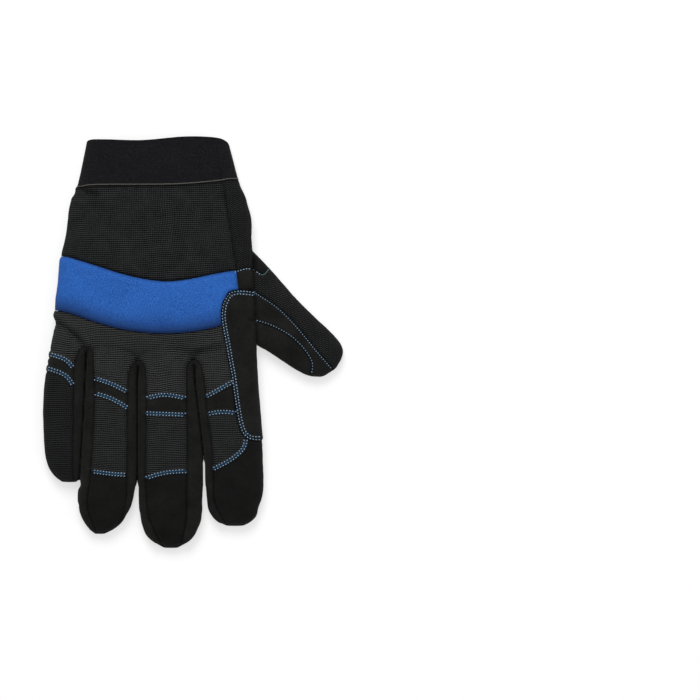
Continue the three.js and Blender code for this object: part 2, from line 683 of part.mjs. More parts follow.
// The origin is below the middle of the glove, on the surface it lies on
const middleOf = new THREE.Box3().setFromObject(glove).getCenter(new THREE.Vector3());
glove.position.set(-middleOf.x, -middleOf.y, 0);

export default glove;
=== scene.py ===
# Winch glove: a right-hand work glove lying on its palm with the back of the hand up.
# The tables are in millimetres or in shares of the named sizes, and meshes are in metres.
import math
import bpy
import numpy as np
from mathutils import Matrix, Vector, noise
from mathutils.bvhtree import BVHTree


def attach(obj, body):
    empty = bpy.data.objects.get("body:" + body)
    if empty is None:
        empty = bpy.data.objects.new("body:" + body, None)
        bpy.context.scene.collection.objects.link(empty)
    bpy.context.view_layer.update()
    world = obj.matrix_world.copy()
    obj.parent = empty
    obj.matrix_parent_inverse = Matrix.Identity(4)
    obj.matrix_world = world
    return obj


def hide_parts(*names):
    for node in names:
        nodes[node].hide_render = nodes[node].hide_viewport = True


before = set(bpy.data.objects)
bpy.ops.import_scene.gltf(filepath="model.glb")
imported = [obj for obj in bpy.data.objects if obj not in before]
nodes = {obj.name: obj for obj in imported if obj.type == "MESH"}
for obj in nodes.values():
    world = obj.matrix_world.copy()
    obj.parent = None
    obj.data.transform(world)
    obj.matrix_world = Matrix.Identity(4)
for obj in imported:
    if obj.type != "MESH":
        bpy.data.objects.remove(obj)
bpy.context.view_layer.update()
mm = 0.001
print("frame loaded:", len(nodes), "nodes")

glove = {
    "handOrigin": (-88.54, 122.29),  # where the cuff's rim meets the little finger's outer side
    "handLength": 134,  # cuff rim to the crotches
    "handHeight": 22,
    "fingerHeight": 15,
    "thumbHeight": 14,
    "thumbWidth": 42,
    "thumbLength": 87.5,
    "thumbAngle": 46.4,
    "wall": 1.5,
    "palmRise": 6,  # level of the seam between palm and back
    "tipLift": 1.5,
    "crotchHalf": 4.2,
    "pressed": 0.5,  # how far touching fingers swell past the line between them
    "pressEase": 0.05,  # share of a finger over which this fades
    "gapWidth": 1.3,  # how far two fingertips part at least
    "slitStart": 2,  # steps of a slit's line that are only pressed in, not cut
    "seamCut": 0.16,  # how far two sewn edges part at the bottom of their seam
    "fineVoxel": 0.75,
    "coarseVoxel": 1.5,
}
widths = {"little": 25, "ring": 30.5, "middle": 33.5, "index": 38}
lengths = {"little": 79, "ring": 104, "middle": 110, "index": 98}
crotchAt = {"little": 0.946, "ring": 0.991, "middle": 1.009, "index": 1.0}
knuckleWidth = sum(widths.values())
partAt = {"little": 1.0, "ring": 0.699, "middle": 0.519}  # share of its length where the next one parts

# Sections of the hand: along from the rim, left and right edge across the knuckles, height
handRows = [
    (-0.06, 0.201, 0.863, 0.6), (0.0, 0.201, 0.863, 0.62), (0.094, 0.182, 0.887, 0.66),
    (0.21, 0.154, 0.92, 0.7), (0.256, 0.137, 0.943, 0.74), (0.3, 0.118, 0.957, 0.79),
    (0.363, 0.111, 0.975, 0.85), (0.444, 0.099, 0.976, 0.91), (0.525, 0.078, 0.981, 0.95),
    (0.655, 0.066, 0.986, 0.99), (0.767, 0.052, 0.99, 1.0), (0.857, 0.047, 0.995, 0.98),
    (0.924, 0.045, 0.994, 0.88), (0.964, 0.08, 0.981, 0.7), (1.0, 0.21, 0.957, 0.4),
]

# Sections of a finger: along from its crotch, left and right edge, left and right seam, height
fingerRows = {
    "little": [
        (-0.115, 0.205, 0.93, -0.4, 0.73, 1.2), (0.0, 0.13, 0.98, -0.4, 0.73, 1.18),
        (0.115, 0.06, 0.975, -0.4, 0.72, 1.12), (0.267, -0.01, 0.955, -0.4, 0.71, 1.06),
        (0.42, -0.036, 0.93, -0.4, 0.7, 1.0), (0.573, -0.036, 0.9, -0.4, 0.69, 0.96),
        (0.725, -0.02, 0.865, -0.4, 0.68, 0.92), (0.84, 0.036, 0.84, -0.4, 0.67, 0.88),
        (0.916, 0.13, 0.83, -0.4, 0.67, 0.8), (0.97, 0.27, 0.82, -0.4, 0.68, 0.66),
        (1.0, 0.4, 0.76, -0.4, 0.7, 0.42),
    ],
    "ring": [
        (-0.116, 0.03, 0.97, 0.16, 0.84, 1.2), (0.0, 0.01, 0.985, 0.16, 0.84, 1.18),
        (0.23, -0.03, 0.985, 0.17, 0.82, 1.08), (0.462, -0.07, 0.985, 0.14, 0.8, 1.0),
        (0.694, -0.13, 0.975, 0.07, 0.8, 0.94), (0.81, -0.155, 0.895, 0.03, 0.78, 0.89),
        (0.879, -0.135, 0.8, 0.03, 0.73, 0.83), (0.936, -0.05, 0.69, 0.07, 0.65, 0.73),
        (0.977, 0.06, 0.52, 0.14, 0.58, 0.58), (1.0, 0.15, 0.36, 0.2, 0.54, 0.4),
    ],
    "middle": [
        (-0.104, 0.03, 0.96, 0.17, 0.88, 1.2), (0.0, 0.01, 0.98, 0.17, 0.88, 1.18),
        (0.197, 0.01, 1.045, 0.17, 0.884, 1.08), (0.415, 0.01, 1.13, 0.16, 0.893, 1.0),
        (0.536, 0.01, 1.175, 0.152, 0.893, 0.97), (0.645, 0.015, 1.175, 0.152, 0.89, 0.94),
        (0.77, 0.035, 1.146, 0.18, 0.884, 0.9), (0.852, 0.077, 1.118, 0.223, 0.875, 0.85),
        (0.918, 0.14, 1.035, 0.286, 0.84, 0.76), (0.967, 0.28, 0.91, 0.39, 0.8, 0.62),
        (1.0, 0.46, 0.72, 0.46, 0.76, 0.4),
    ],
    "index": [
        (-0.123, 0.04, 0.976, 0.19, 1.4, 1.2), (0.0, 0.015, 0.985, 0.19, 1.4, 1.18),
        (0.233, 0.075, 1.03, 0.2, 1.4, 1.08), (0.4785, 0.153, 1.08, 0.29, 1.4, 1.0),
        (0.613, 0.17, 1.095, 0.31, 1.4, 0.97), (0.724, 0.178, 1.107, 0.32, 1.4, 0.94),
        (0.816, 0.208, 1.09, 0.33, 1.4, 0.9), (0.89, 0.242, 1.025, 0.35, 1.4, 0.83),
        (0.945, 0.305, 0.985, 0.4, 1.4, 0.73), (0.982, 0.41, 0.885, 0.47, 1.4, 0.58),
        (1.0, 0.51, 0.79, 0.52, 1.4, 0.4),
    ],
}

# Sections of the thumb: along from where its back leaves the hand, left and right edge, height
thumbRows = [
    (0.0, 0.045, 0.7, 0.86), (0.15, 0.04, 0.88, 0.95), (0.31, 0.048, 0.965, 1.0),
    (0.45, 0.062, 0.965, 1.0), (0.61, 0.056, 0.874, 1.0), (0.8, 0.036, 0.783, 0.96),
    (0.875, 0.04, 0.735, 0.9), (0.921, 0.06, 0.686, 0.82), (0.958, 0.107, 0.62, 0.7),
    (0.987, 0.207, 0.54, 0.55), (1.0, 0.31, 0.4, 0.4),
]

# Seams of the hand: across the knuckles from the little finger, along from the rim
handSeams = {
    "rim": [
        (0.165, 0.09), (0.189, 0.035), (0.212, 0.01), (0.29, 0.008), (0.46, 0.012),
        (0.66, -0.004), (0.8, -0.001), (0.853, 0.014), (0.872, 0.04), (0.885, 0.09),
    ],
    "cuffFoot": [
        (-0.1, 0.229), (0.15, 0.219), (0.24, 0.21), (0.56, 0.209), (0.7, 0.203), (0.824, 0.191),
        (0.9, 0.182), (1.1, 0.194),
    ],
    "bandTop": [
        (-0.1, 0.52), (0.0875, 0.53), (0.163, 0.547), (0.258, 0.575), (0.376, 0.61), (0.494, 0.6345),
        (0.589, 0.642), (0.683, 0.632), (0.8, 0.609), (0.872, 0.597), (0.905, 0.593),
    ],
    "bandFoot": [
        (-0.1, 0.76), (0.059, 0.772), (0.1395, 0.789), (0.234, 0.82), (0.352, 0.852), (0.47, 0.869),
        (0.565, 0.874), (0.683, 0.868), (0.787, 0.851), (0.844, 0.8355),
    ],
    "sideEdge": [
        (0.828, 0.15), (0.853, 0.27), (0.872, 0.386), (0.891, 0.498), (0.905, 0.593),
        (0.92, 0.72),
    ],
    "gusset": [
        (0.893, 0.598), (0.95, 0.582), (0.975, 0.584), (0.9976, 0.5935), (1.015, 0.605),
        (1.029, 0.61), (1.049, 0.59), (1.053, 0.57), (1.062, 0.53),
    ],
    "patch": [
        (1.0, 0.687), (0.957, 0.6816), (0.91, 0.6796), (0.87, 0.692), (0.85, 0.7215), (0.838, 0.753),
        (0.8335, 0.798), (0.8416, 0.857), (0.855, 0.924), (0.867, 0.991), (0.88, 1.058),
        (0.891, 1.135), (0.9035, 1.215), (0.9175, 1.283), (0.935, 1.323), (0.962, 1.345),
        (1.0, 1.352), (1.06, 1.35),
    ],
    "thumbRoot": [
        (0.974, 0.44), (0.979, 0.5), (0.985, 0.61), (0.99, 0.722), (0.996, 0.834),
        (1.0, 0.928), (1.008, 0.985),
    ],
    "littleFold": [
        (-0.1, 0.78), (0.02, 0.808), (0.0686, 0.825), (0.125, 0.861), (0.173, 0.906),
        (0.205, 0.945),
    ],
    "thumbOuter": [
        (0.96, 0.675), (0.99, 0.687), (1.033, 0.713), (1.095, 0.753), (1.161, 0.812),
        (1.227, 0.883), (1.288, 0.955), (1.37, 1.045),
    ],
    "thumbInner": [
        (0.96, 0.81), (0.986, 0.816), (1.038, 0.83), (1.099, 0.854), (1.161, 0.89),
        (1.213, 0.937), (1.246, 0.982), (1.258, 1.02), (1.24, 1.1),
    ],
}

# Seams across a finger's back: along it at its left seam, its middle and its right seam
crossSeams = {
    "little": {"stripTop": (0.01, 0.07, 0.165), "stripFoot": (0.12, 0.188, 0.3)},
    "ring": {
        "stripTop": (0.1, 0.136, 0.192), "stripFoot": (0.187, 0.22, 0.283),
        "tip": (0.635, 0.653, 0.66),
    },
    "middle": {
        "stripTop": (0.19, 0.167, 0.19), "stripFoot": (0.267, 0.2705, 0.277),
        "tip": (0.625, 0.59, 0.58),
    },
    "index": {"stripTop": (0.223, 0.148, 0.038), "stripFoot": (0.32, 0.304, 0.33)},
}
indexTipSeam = [(0.2, 0.68), (0.3, 0.656), (0.54, 0.607), (0.714, 0.558), (0.81, 0.509), (0.845, 0.42)]

# Tops of the turned-over edges between two fingers: place, and where each finger's seam starts
crotches = [
    ("little", "ring", 0.197, 0.926, 0.12, 0.06),
    ("ring", "middle", 0.442, 0.991, 0.1, 0.09),
    ("middle", "index", 0.705, 0.987, 0.09, 0.14),
]


def follow(rows, column, along):  # a smooth line through one column of a table
    last = len(rows) - 1
    i = 0
    while i < last - 1 and along > rows[i + 1][0]:
        i += 1

    def slopeAt(k):
        low, high = max(k - 1, 0), min(k + 1, last)
        return (rows[high][column] - rows[low][column]) / (rows[high][0] - rows[low][0])

    span = rows[i + 1][0] - rows[i][0]
    t = min(max((along - rows[i][0]) / span, 0), 1)
    start, end = rows[i][column], rows[i + 1][column]
    leave, arrive = slopeAt(i) * span, slopeAt(i + 1) * span
    bend = 2 * (start - end) + leave + arrive
    return start + leave * t + (-3 * start + 3 * end - 2 * leave - arrive) * t * t + bend * t**3


def limb(rows, origin, run, length, width, height, lift):
    run = np.array(run, float)
    return {
        "rows": rows, "origin": np.array(origin, float), "run": run,
        "across": np.array([-run[1], run[0]]), "length": length, "width": width,
        "height": height, "lift": lift,
    }


def spotOn(part, across, along):  # plan position of a share across and along a limb
    return part["origin"] + part["run"] * along * part["length"] + part["across"] * across * part["width"]


originX, originY = glove["handOrigin"]
down = (0, -1)
hand = limb(handRows, (originX, originY), down, glove["handLength"], knuckleWidth, glove["handHeight"], 0)
limbs = {"hand": hand}
before = 0
for name, rows in fingerRows.items():
    root = (originX + before, originY - crotchAt[name] * glove["handLength"])
    limbs[name] = limb(
        rows, root, down, lengths[name], widths[name], glove["fingerHeight"], glove["tipLift"],
    )
    before += widths[name]
fingers = [limbs[name] for name in fingerRows]
thumbTurn = math.radians(glove["thumbAngle"])
limbs["thumb"] = limb(
    thumbRows, spotOn(hand, 0.976, 0.48), (math.cos(thumbTurn), -math.sin(thumbTurn)),
    glove["thumbLength"], glove["thumbWidth"], glove["thumbHeight"], glove["tipLift"],
)
limbs["thumb"]["across"] = -limbs["thumb"]["across"]


def ease(t):
    t = np.clip(t, 0, 1)
    return t * t * (3 - 2 * t)


def edgeAt(name, column, y):  # plan x of a finger's edge at a plan y
    part = limbs[name]
    along = min(max((part["origin"][1] - y) / part["length"], part["rows"][0][0]), 1)
    return spotOn(part, follow(part["rows"], column, along), along)[0]


def swell(part, column, along):  # how far an edge moves out to press on the next finger
    names = list(fingerRows)
    place = next((i for i, finger in enumerate(fingers) if finger is part), None)
    if place is None:
        return 0
    other = place + 1 if column == 2 else place - 1
    if not 0 <= other < len(names):
        return 0
    left, right = sorted((place, other))
    y = part["origin"][1] - along * part["length"]
    leftAlong = (fingers[left]["origin"][1] - y) / fingers[left]["length"]
    gap = edgeAt(names[right], 1, y) - edgeAt(names[left], 2, y)
    touching = ease((partAt[names[left]] - leftAlong) / glove["pressEase"])
    return float(touching) * (max(gap, 0) / 2 + glove["pressed"])


def smoothLine(points, steps=10):  # a curve through the points
    points = [np.array(p, float) for p in points]
    line = []
    for i in range(len(points) - 1):
        a = points[max(i - 1, 0)]
        b, c = points[i], points[i + 1]
        d = points[min(i + 2, len(points) - 1)]
        for k in range(steps):
            t = k / steps
            line.append(
                0.5 * (2 * b + (c - a) * t + (2 * a - 5 * b + 4 * c - d) * t * t
                       + (3 * b - a - 3 * c + d) * t**3)
            )
    line.append(points[-1])
    return np.array(line)


def handLine(rows):
    return smoothLine([spotOn(hand, across, along) for across, along in rows])


def backSeam(part, column, start, end=1.0):  # the seam down one side of a finger's back
    steps = 6
    rows = []
    for i in range(steps + 1):
        along = start + (end - start) * i / steps
        rows.append(spotOn(part, follow(part["rows"], column, along), along))
    rows.append(spotOn(part, follow(part["rows"], column, 1), end + 0.06))
    return rows


lineReach = 12  # how far round a line its distance is worked out, in mm


def lineDistance(places, line):  # how far each plan position is from a line
    best = np.full(len(places), 1e9)
    low, high = line.min(0) - lineReach, line.max(0) + lineReach
    near = np.all((places > low) & (places < high), axis=1)
    spots = places[near]
    closest = np.full(len(spots), 1e9)
    for start, end in zip(line[:-1], line[1:]):
        run = end - start
        t = np.clip(((spots - start) @ run) / max(run @ run, 1e-9), 0, 1)
        closest = np.minimum(closest, np.hypot(*(spots - start - t[:, None] * run).T))
    best[near] = closest
    return best


def insideOutline(places, outline):
    inside = np.zeros(len(places), bool)
    for (ax, ay), (bx, by) in zip(outline, np.roll(outline, -1, axis=0)):
        crosses = (ay > places[:, 1]) != (by > places[:, 1])
        with np.errstate(divide="ignore", invalid="ignore"):
            reach = (bx - ax) * (places[:, 1] - ay) / (by - ay) + ax
        inside ^= crosses & (places[:, 0] < reach)
    return inside


def trimmed(line, outline):  # the stretch of a line outside an outline, and one step more
    out = ~insideOutline(line, outline)
    keep = out | np.roll(out, 1) | np.roll(out, -1)
    keep[0], keep[-1] = out[0] | out[1], out[-1] | out[-2]
    return line[keep]


seams = {name: handLine(rows) for name, rows in handSeams.items()}
patchOutline = np.vstack([seams["patch"], [spotOn(hand, 1.06, 1.0)], seams["thumbRoot"][::-1][:35]])
bandEnd = [spotOn(hand, 0.92, 0.69), spotOn(hand, 0.92, 0.8)]
bandOutline = np.vstack([seams["bandTop"], bandEnd, seams["bandFoot"][::-1]])
forks = ["littleFourchette", "ringFourchette", "middleFourchette"]
for leftName, rightName, across, along, leftRow, rightRow in crotches:
    left, right = limbs[leftName], limbs[rightName]
    top = spotOn(hand, across, along)
    half = glove["crotchHalf"]
    seams[f"{leftName}Fourchette"] = smoothLine(
        backSeam(left, 4, leftRow)[::-1]
        + [top + (-half, -0.9 * half), top, top + (half, -0.9 * half)]
        + backSeam(right, 3, rightRow),
        6,
    )
for name, lines in crossSeams.items():
    part = limbs[name]
    for seamName, (start, centre, end) in lines.items():
        low = max(follow(part["rows"], 3, start) - 0.05, -0.15)
        high = min(follow(part["rows"], 4, end) + 0.05, 1)
        seams[name + seamName[0].upper() + seamName[1:]] = smoothLine(
            [spotOn(part, low, start), spotOn(part, 0.5, centre), spotOn(part, high, end)]
        )
seams["indexTip"] = smoothLine([spotOn(limbs["index"], *row) for row in indexTipSeam])
crossNames = ["indexTip"] + [
    name + seamName[0].upper() + seamName[1:] for name, lines in crossSeams.items() for seamName in lines
]
for name in crossNames + ["sideEdge"]:
    seams[name] = trimmed(seams[name], patchOutline)
    for fork in forks:
        seams[name] = trimmed(seams[name], seams[fork])

# Slits between two fingers, from just inside the turned edge to where the fingers part
slit = {"start": (0.1, -4.5), "first": 14, "last": 116, "step": 4, "over": (0, -6), "openEase": 2.5}
slits, slitWidths = [], []
for leftName, rightName, across, along, *_ in crotches:
    left, right = limbs[leftName], limbs[rightName]
    top = spotOn(hand, across, along)
    line = [top + slit["start"]]
    for below in range(slit["first"], slit["last"], slit["step"]):
        y = top[1] - below
        if y < max(part["origin"][1] - part["length"] for part in (left, right)):
            break
        line.append(np.array([(edgeAt(leftName, 2, y) + edgeAt(rightName, 1, y)) / 2, y]))
    line.append(line[-1] + slit["over"])
    slits.append(smoothLine(line, 4))
    leftAlong = (left["origin"][1] - slits[-1][:, 1]) / left["length"]
    opening = ease((leftAlong - partAt[leftName]) * left["length"] / slit["openEase"])
    slitWidths.append(glove["seamCut"] + (glove["gapWidth"] - glove["seamCut"]) * opening)
print("seams laid out:", len(seams) + len(slits))


def select(*objects):
    bpy.ops.object.select_all(action="DESELECT")
    for each in objects:
        each.select_set(True)
    bpy.context.view_layer.objects.active = objects[0]


def applyModifier(piece, kind, **settings):
    select(piece)
    bpy.ops.object.modifier_add(type=kind)
    modifier = piece.modifiers[-1]
    for key, value in settings.items():
        setattr(modifier, key, value)
    bpy.ops.object.modifier_apply(modifier=modifier.name)


def meshArrays(piece):
    count = len(piece.data.vertices)
    places = np.empty(count * 3)
    piece.data.vertices.foreach_get("co", places)
    normals = np.empty(count * 3)
    piece.data.vertices.foreach_get("normal", normals)
    return places.reshape(-1, 3), normals.reshape(-1, 3)


def setPlaces(piece, places):
    piece.data.vertices.foreach_set("co", places.ravel())
    piece.data.update()


# One limb: a grid rolled into a tube with a flat foot, rounded sides and a domed top.
# A finger's root shrinks into the hand over the root's run.
tube = {
    "span": 56, "stations": 60, "crowding": 1.4, "nose": 4, "noseLength": 0.3, "noseEnd": 0.02,
    "rootRun": 20, "rootShrink": 0.45, "tipFrom": 0.85, "tipRun": 0.15, "leastHalf": 0.6, "leastHeight": 0.8,
    "waist": 0.42, "sideRound": 0.8, "topRound": 0.85, "footRound": 0.7, "footReach": 1.3,
}


def limbTube(part, outset):
    span, stations = tube["span"], tube["stations"]
    rowsUsed = stations + tube["nose"]
    bpy.ops.object.select_all(action="DESELECT")
    bpy.ops.mesh.primitive_grid_add(x_subdivisions=span, y_subdivisions=rowsUsed, size=1)
    piece = bpy.context.object
    places = np.empty((rowsUsed + 1, span + 1, 3))
    turn = np.linspace(0, 2 * math.pi, span + 1)
    cosine, sine = np.cos(turn), np.sin(turn)
    side = np.sign(cosine) * np.abs(cosine) ** tube["sideRound"]
    isFinger = any(part is finger for finger in fingers)
    rootRun = tube["rootRun"] / part["length"] if isFinger else 0
    first = part["rows"][0][0] - rootRun
    for row in range(rowsUsed + 1):
        share = 1 - (1 - min(row / stations, 1)) ** tube["crowding"]
        along = first + (1 - first) * share
        sunk = ease((part["rows"][0][0] - along) / rootRun) if rootRun else 0
        nose = max(row - stations, 0) / tube["nose"]
        start = spotOn(part, 0, along * (1 + outset / part["length"]))
        leftEdge = follow(part["rows"], 1, along) * part["width"] - outset - swell(part, 1, along)
        rightEdge = follow(part["rows"], 2, along) * part["width"] + outset + swell(part, 2, along)
        middle = (leftEdge + rightEdge) / 2
        half = max((rightEdge - leftEdge) / 2, tube["leastHalf"])
        tip = min(max((along - tube["tipFrom"]) / tube["tipRun"], 0), 1)
        foot = part["lift"] * tip * tip + max(-outset, 0)
        top = follow(part["rows"], -1, along) * part["height"] + outset
        top = max(top, foot + tube["leastHeight"])
        waist = foot + tube["waist"] * (top - foot)
        shrink = math.sqrt(max(1 - nose**2, tube["noseEnd"])) * (1 - tube["rootShrink"] * sunk)
        rise = np.where(
            sine > 0, (top - waist) * np.abs(sine) ** tube["topRound"],
            -tube["footReach"] * (waist - foot) * np.abs(sine) ** tube["footRound"],
        )
        height = np.maximum(waist + rise, foot)
        height = waist + (height - waist) * shrink
        plan = start + np.outer(middle + half * side * shrink, part["across"])
        places[row, :, :2] = plan + part["run"] * tube["noseLength"] * nose
        places[row, :, 2] = height
    setPlaces(piece, places.reshape(-1, 3) * mm)
    bpy.ops.object.mode_set(mode="EDIT")
    bpy.ops.mesh.select_all(action="SELECT")
    bpy.ops.mesh.remove_doubles(threshold=1e-6)
    bpy.ops.mesh.fill_holes(sides=0)
    bpy.ops.mesh.normals_make_consistent(inside=False)
    bpy.ops.object.mode_set(mode="OBJECT")
    return piece


def gloveForm(outset, voxel, smoothing):
    parts = [limbTube(part, outset) for part in limbs.values()]
    select(*parts)
    bpy.ops.object.join()
    form = bpy.context.object
    form.data.remesh_voxel_size = voxel * mm
    form.data.use_remesh_fix_poles = False
    bpy.ops.object.voxel_remesh()
    if smoothing:
        applyModifier(form, "SMOOTH", factor=0.5, iterations=smoothing)
    return form


outer = gloveForm(0, glove["fineVoxel"], 3)
cavity = gloveForm(-glove["wall"], glove["coarseVoxel"], 2)
print("form made:", len(outer.data.vertices), "vertices outside")

# The seam between palm and back wanders a little up and down
seamWave = {"rise": 0.4, "share": 0.7, "across": 11, "along": 8}


def seamHeight(x, y):
    turnX, turnY = (2 * math.pi * place / seamWave[key] for place, key in ((x, "across"), (y, "along")))
    wave = seamWave["rise"] * (np.sin(turnX) + np.sin(turnY + 1)) * seamWave["share"]
    return glove["palmRise"] + wave


# Relief of the back: dips at the seams, the padded band, the doubled patch and soft folds
relief = {
    "from": 5, "fadeIn": 2, "onSides": 0.2, "palmSeamDepth": 0.5, "palmSeamStart": 0.21, "bandDipWidth": 1.1,
    "seamDepth": 0.55, "seamWidth": 0.9, "rollHeight": 0.18, "rollAt": 2.3, "rollWidth": 1.2,
    "ridgeRise": 0.3, "ridgeWidth": 1.3, "ditchDepth": 0.5, "ditchAt": 2.4, "ditchWidth": 0.7,
    "bandRise": 2.1, "bandTopEase": 3.5, "bandFootEase": 10, "bandDip": 0.9, "patchRise": 0.7,
    "patchEase": 1.6, "slitDepth": 0.45, "slitWidth": 0.9, "mouthDepth": 0.6, "mouthLength": 14,
    "forkRise": 0.8, "forkEase": 3.0,
    "waveSize": 17, "waveRise": 0.35, "crumpleSize": 6, "crumpleRise": 0.1, "thinnest": 0.5,
}
# Folds: ends and middle in plan shares of the hand, height in mm, half width in mm
folds = [
    ([(0.15, 0.228), (0.17, 0.25), (0.2, 0.27)], 0.6, 1.3),
    ([(0.17, 0.222), (0.2, 0.24), (0.25, 0.25)], -0.5, 1.2),
    ([(0.13, 0.27), (0.155, 0.29), (0.2, 0.3)], 0.5, 1.6),
    ([(0.05, 0.79), (0.11, 0.82), (0.17, 0.865)], 1.1, 2.6),
    ([(0.02, 0.83), (0.1, 0.85), (0.17, 0.91)], -0.6, 2.4),
    ([(0.06, 0.9), (0.12, 0.915), (0.17, 0.96)], 0.5, 2.2),
    ([(0.71, 0.935), (0.77, 0.922), (0.83, 0.905)], 0.7, 2.4),
    ([(0.72, 0.958), (0.775, 0.947), (0.83, 0.935)], -0.6, 1.8),
    ([(0.44, 0.965), (0.4, 0.94), (0.34, 0.93)], 0.35, 3.0),
    ([(0.45, 0.965), (0.5, 0.945), (0.57, 0.94)], 0.35, 3.0),
]
plainSeams = [
    "sideEdge", "gusset", "patch", "thumbRoot", "littleFold", "thumbOuter", "thumbInner", *forks,
]


def wallRoom(places, hollow):  # how far each place lies outside the hollow, in mm
    tree = BVHTree.FromPolygons(
        [v.co for v in hollow.data.vertices], [list(face.vertices) for face in hollow.data.polygons]
    )
    room = np.empty(len(places))
    for i, place in enumerate(places):
        spot, normal, _, gap = tree.find_nearest(Vector(place))
        room[i] = math.copysign(gap, (Vector(place) - spot).dot(normal)) / mm
    return room


def addRelief(form):
    places, normals = meshArrays(form)
    plan = places[:, :2] / mm
    height = places[:, 2] / mm
    r = relief
    shift = np.zeros(len(places))
    upper = ease((height - r["from"]) / r["fadeIn"])
    facing = r["onSides"] + (1 - r["onSides"]) * np.clip(normals[:, 2], 0, 1)
    nearest = np.min([lineDistance(plan, seams[name]) for name in plainSeams], axis=0)
    ridge = np.min([lineDistance(plan, seams[name]) for name in crossNames], axis=0)
    dip = -r["seamDepth"] * np.exp(-((nearest / r["seamWidth"]) ** 2))
    roll = r["rollHeight"] * np.exp(-(((nearest - r["rollAt"]) / r["rollWidth"]) ** 2))
    shift += upper * facing * (dip + roll)
    shift += upper * r["ridgeRise"] * np.exp(-((ridge / r["ridgeWidth"]) ** 2))
    shift -= upper * r["ditchDepth"] * np.exp(-(((ridge - r["ditchAt"]) / r["ditchWidth"]) ** 2))
    topGap, footGap = (lineDistance(plan, seams[name]) for name in ("bandTop", "bandFoot"))
    bandGap = np.minimum(topGap, footGap)
    inBand = insideOutline(plan, bandOutline) & (height > glove["palmRise"])
    inPatch = insideOutline(plan, patchOutline)
    sideGap = lineDistance(plan, seams["sideEdge"])
    shares = np.minimum(topGap, sideGap) / r["bandTopEase"], footGap / r["bandFootEase"]
    full = [np.sqrt(np.clip(1 - (1 - np.clip(share, 0, 1)) ** 2, 0, 1)) for share in shares]
    shift += upper * np.where(inBand & ~inPatch, r["bandRise"] * full[0] * full[1] * facing, 0)
    shift -= upper * facing * r["bandDip"] * np.exp(-((bandGap / r["bandDipWidth"]) ** 2)) * ~inPatch
    patchGap = lineDistance(plan, seams["patch"])
    shift += upper * np.where(inPatch, r["patchRise"] * ease(patchGap / r["patchEase"]), 0)
    for fork, line in zip(forks, slits):
        edge = np.minimum(lineDistance(plan, seams[fork]), lineDistance(plan, line))
        bulge = r["forkRise"] * ease(edge / r["forkEase"])
        shift += upper * np.where(insideOutline(plan, seams[fork]), bulge, 0)
        depth = r["slitDepth"] + r["mouthDepth"] * ease(1 - (line[0][1] - plan[:, 1]) / r["mouthLength"])
        shift -= upper * depth * np.exp(-((lineDistance(plan, line) / r["slitWidth"]) ** 2))
    for rows, rise, width in folds:
        distance = lineDistance(plan, handLine(rows))
        shift += upper * rise * np.exp(-((distance / width) ** 2))
    level = np.exp(-((height - seamHeight(plan[:, 0], plan[:, 1])) ** 2))
    onHand = plan[:, 1] < spotOn(hand, 0, r["palmSeamStart"])[1]
    shift -= r["palmSeamDepth"] * level * onHand
    waves = np.array([
        noise.noise(Vector((x, y, z)) / r["waveSize"]) * r["waveRise"]
        + noise.noise(Vector((x, y, z)) / r["crumpleSize"]) * r["crumpleRise"]
        for x, y, z in places / mm
    ])
    shift = np.maximum(shift + upper * waves, r["thinnest"] - wallRoom(places, cavity))
    setPlaces(form, places + normals * (shift * mm)[:, None])


addRelief(outer)
print("relief added")


def closedTool(rows):  # a cutting tool: a grid laid through rows of places and closed at its ends
    rows = np.array(rows)
    bpy.ops.object.select_all(action="DESELECT")
    bpy.ops.mesh.primitive_grid_add(
        x_subdivisions=rows.shape[1] - 1, y_subdivisions=rows.shape[0] - 1, size=1
    )
    piece = bpy.context.object
    setPlaces(piece, rows.reshape(-1, 3) * mm)
    bpy.ops.object.mode_set(mode="EDIT")
    bpy.ops.mesh.select_all(action="SELECT")
    bpy.ops.mesh.remove_doubles(threshold=1e-7)
    bpy.ops.mesh.fill_holes(sides=0)
    bpy.ops.mesh.normals_make_consistent(inside=False)
    bpy.ops.object.mode_set(mode="OBJECT")
    return piece


def between(edge, far, bottom, top):  # everything between two lines of equal length and two heights
    def at(line, height):
        return np.column_stack([line, np.full(len(line), height)])

    return closedTool([at(edge, bottom), at(edge, top), at(far, top), at(far, bottom), at(edge, bottom)])


def blade(line, width=glove["seamCut"], bottom=-20, top=60):  # a thin upright wall along a line
    run = np.gradient(line, axis=0)
    run /= np.linalg.norm(run, axis=1)[:, None]
    side = np.column_stack([-run[:, 1], run[:, 0]]) * np.reshape(width, (-1, 1)) / 2
    return between(line + side, line - side, bottom, top)


def wristSide(line, low=-20, high=60):
    return between(line, line + (0, 80), low, high)


def cut(piece, tool):
    applyModifier(piece, "BOOLEAN", object=tool, operation="DIFFERENCE", solver="MANIFOLD")
    bpy.data.objects.remove(tool)


def splitLoose(piece):
    select(piece)
    bpy.ops.mesh.separate(type="LOOSE")
    return list(bpy.context.selected_objects)


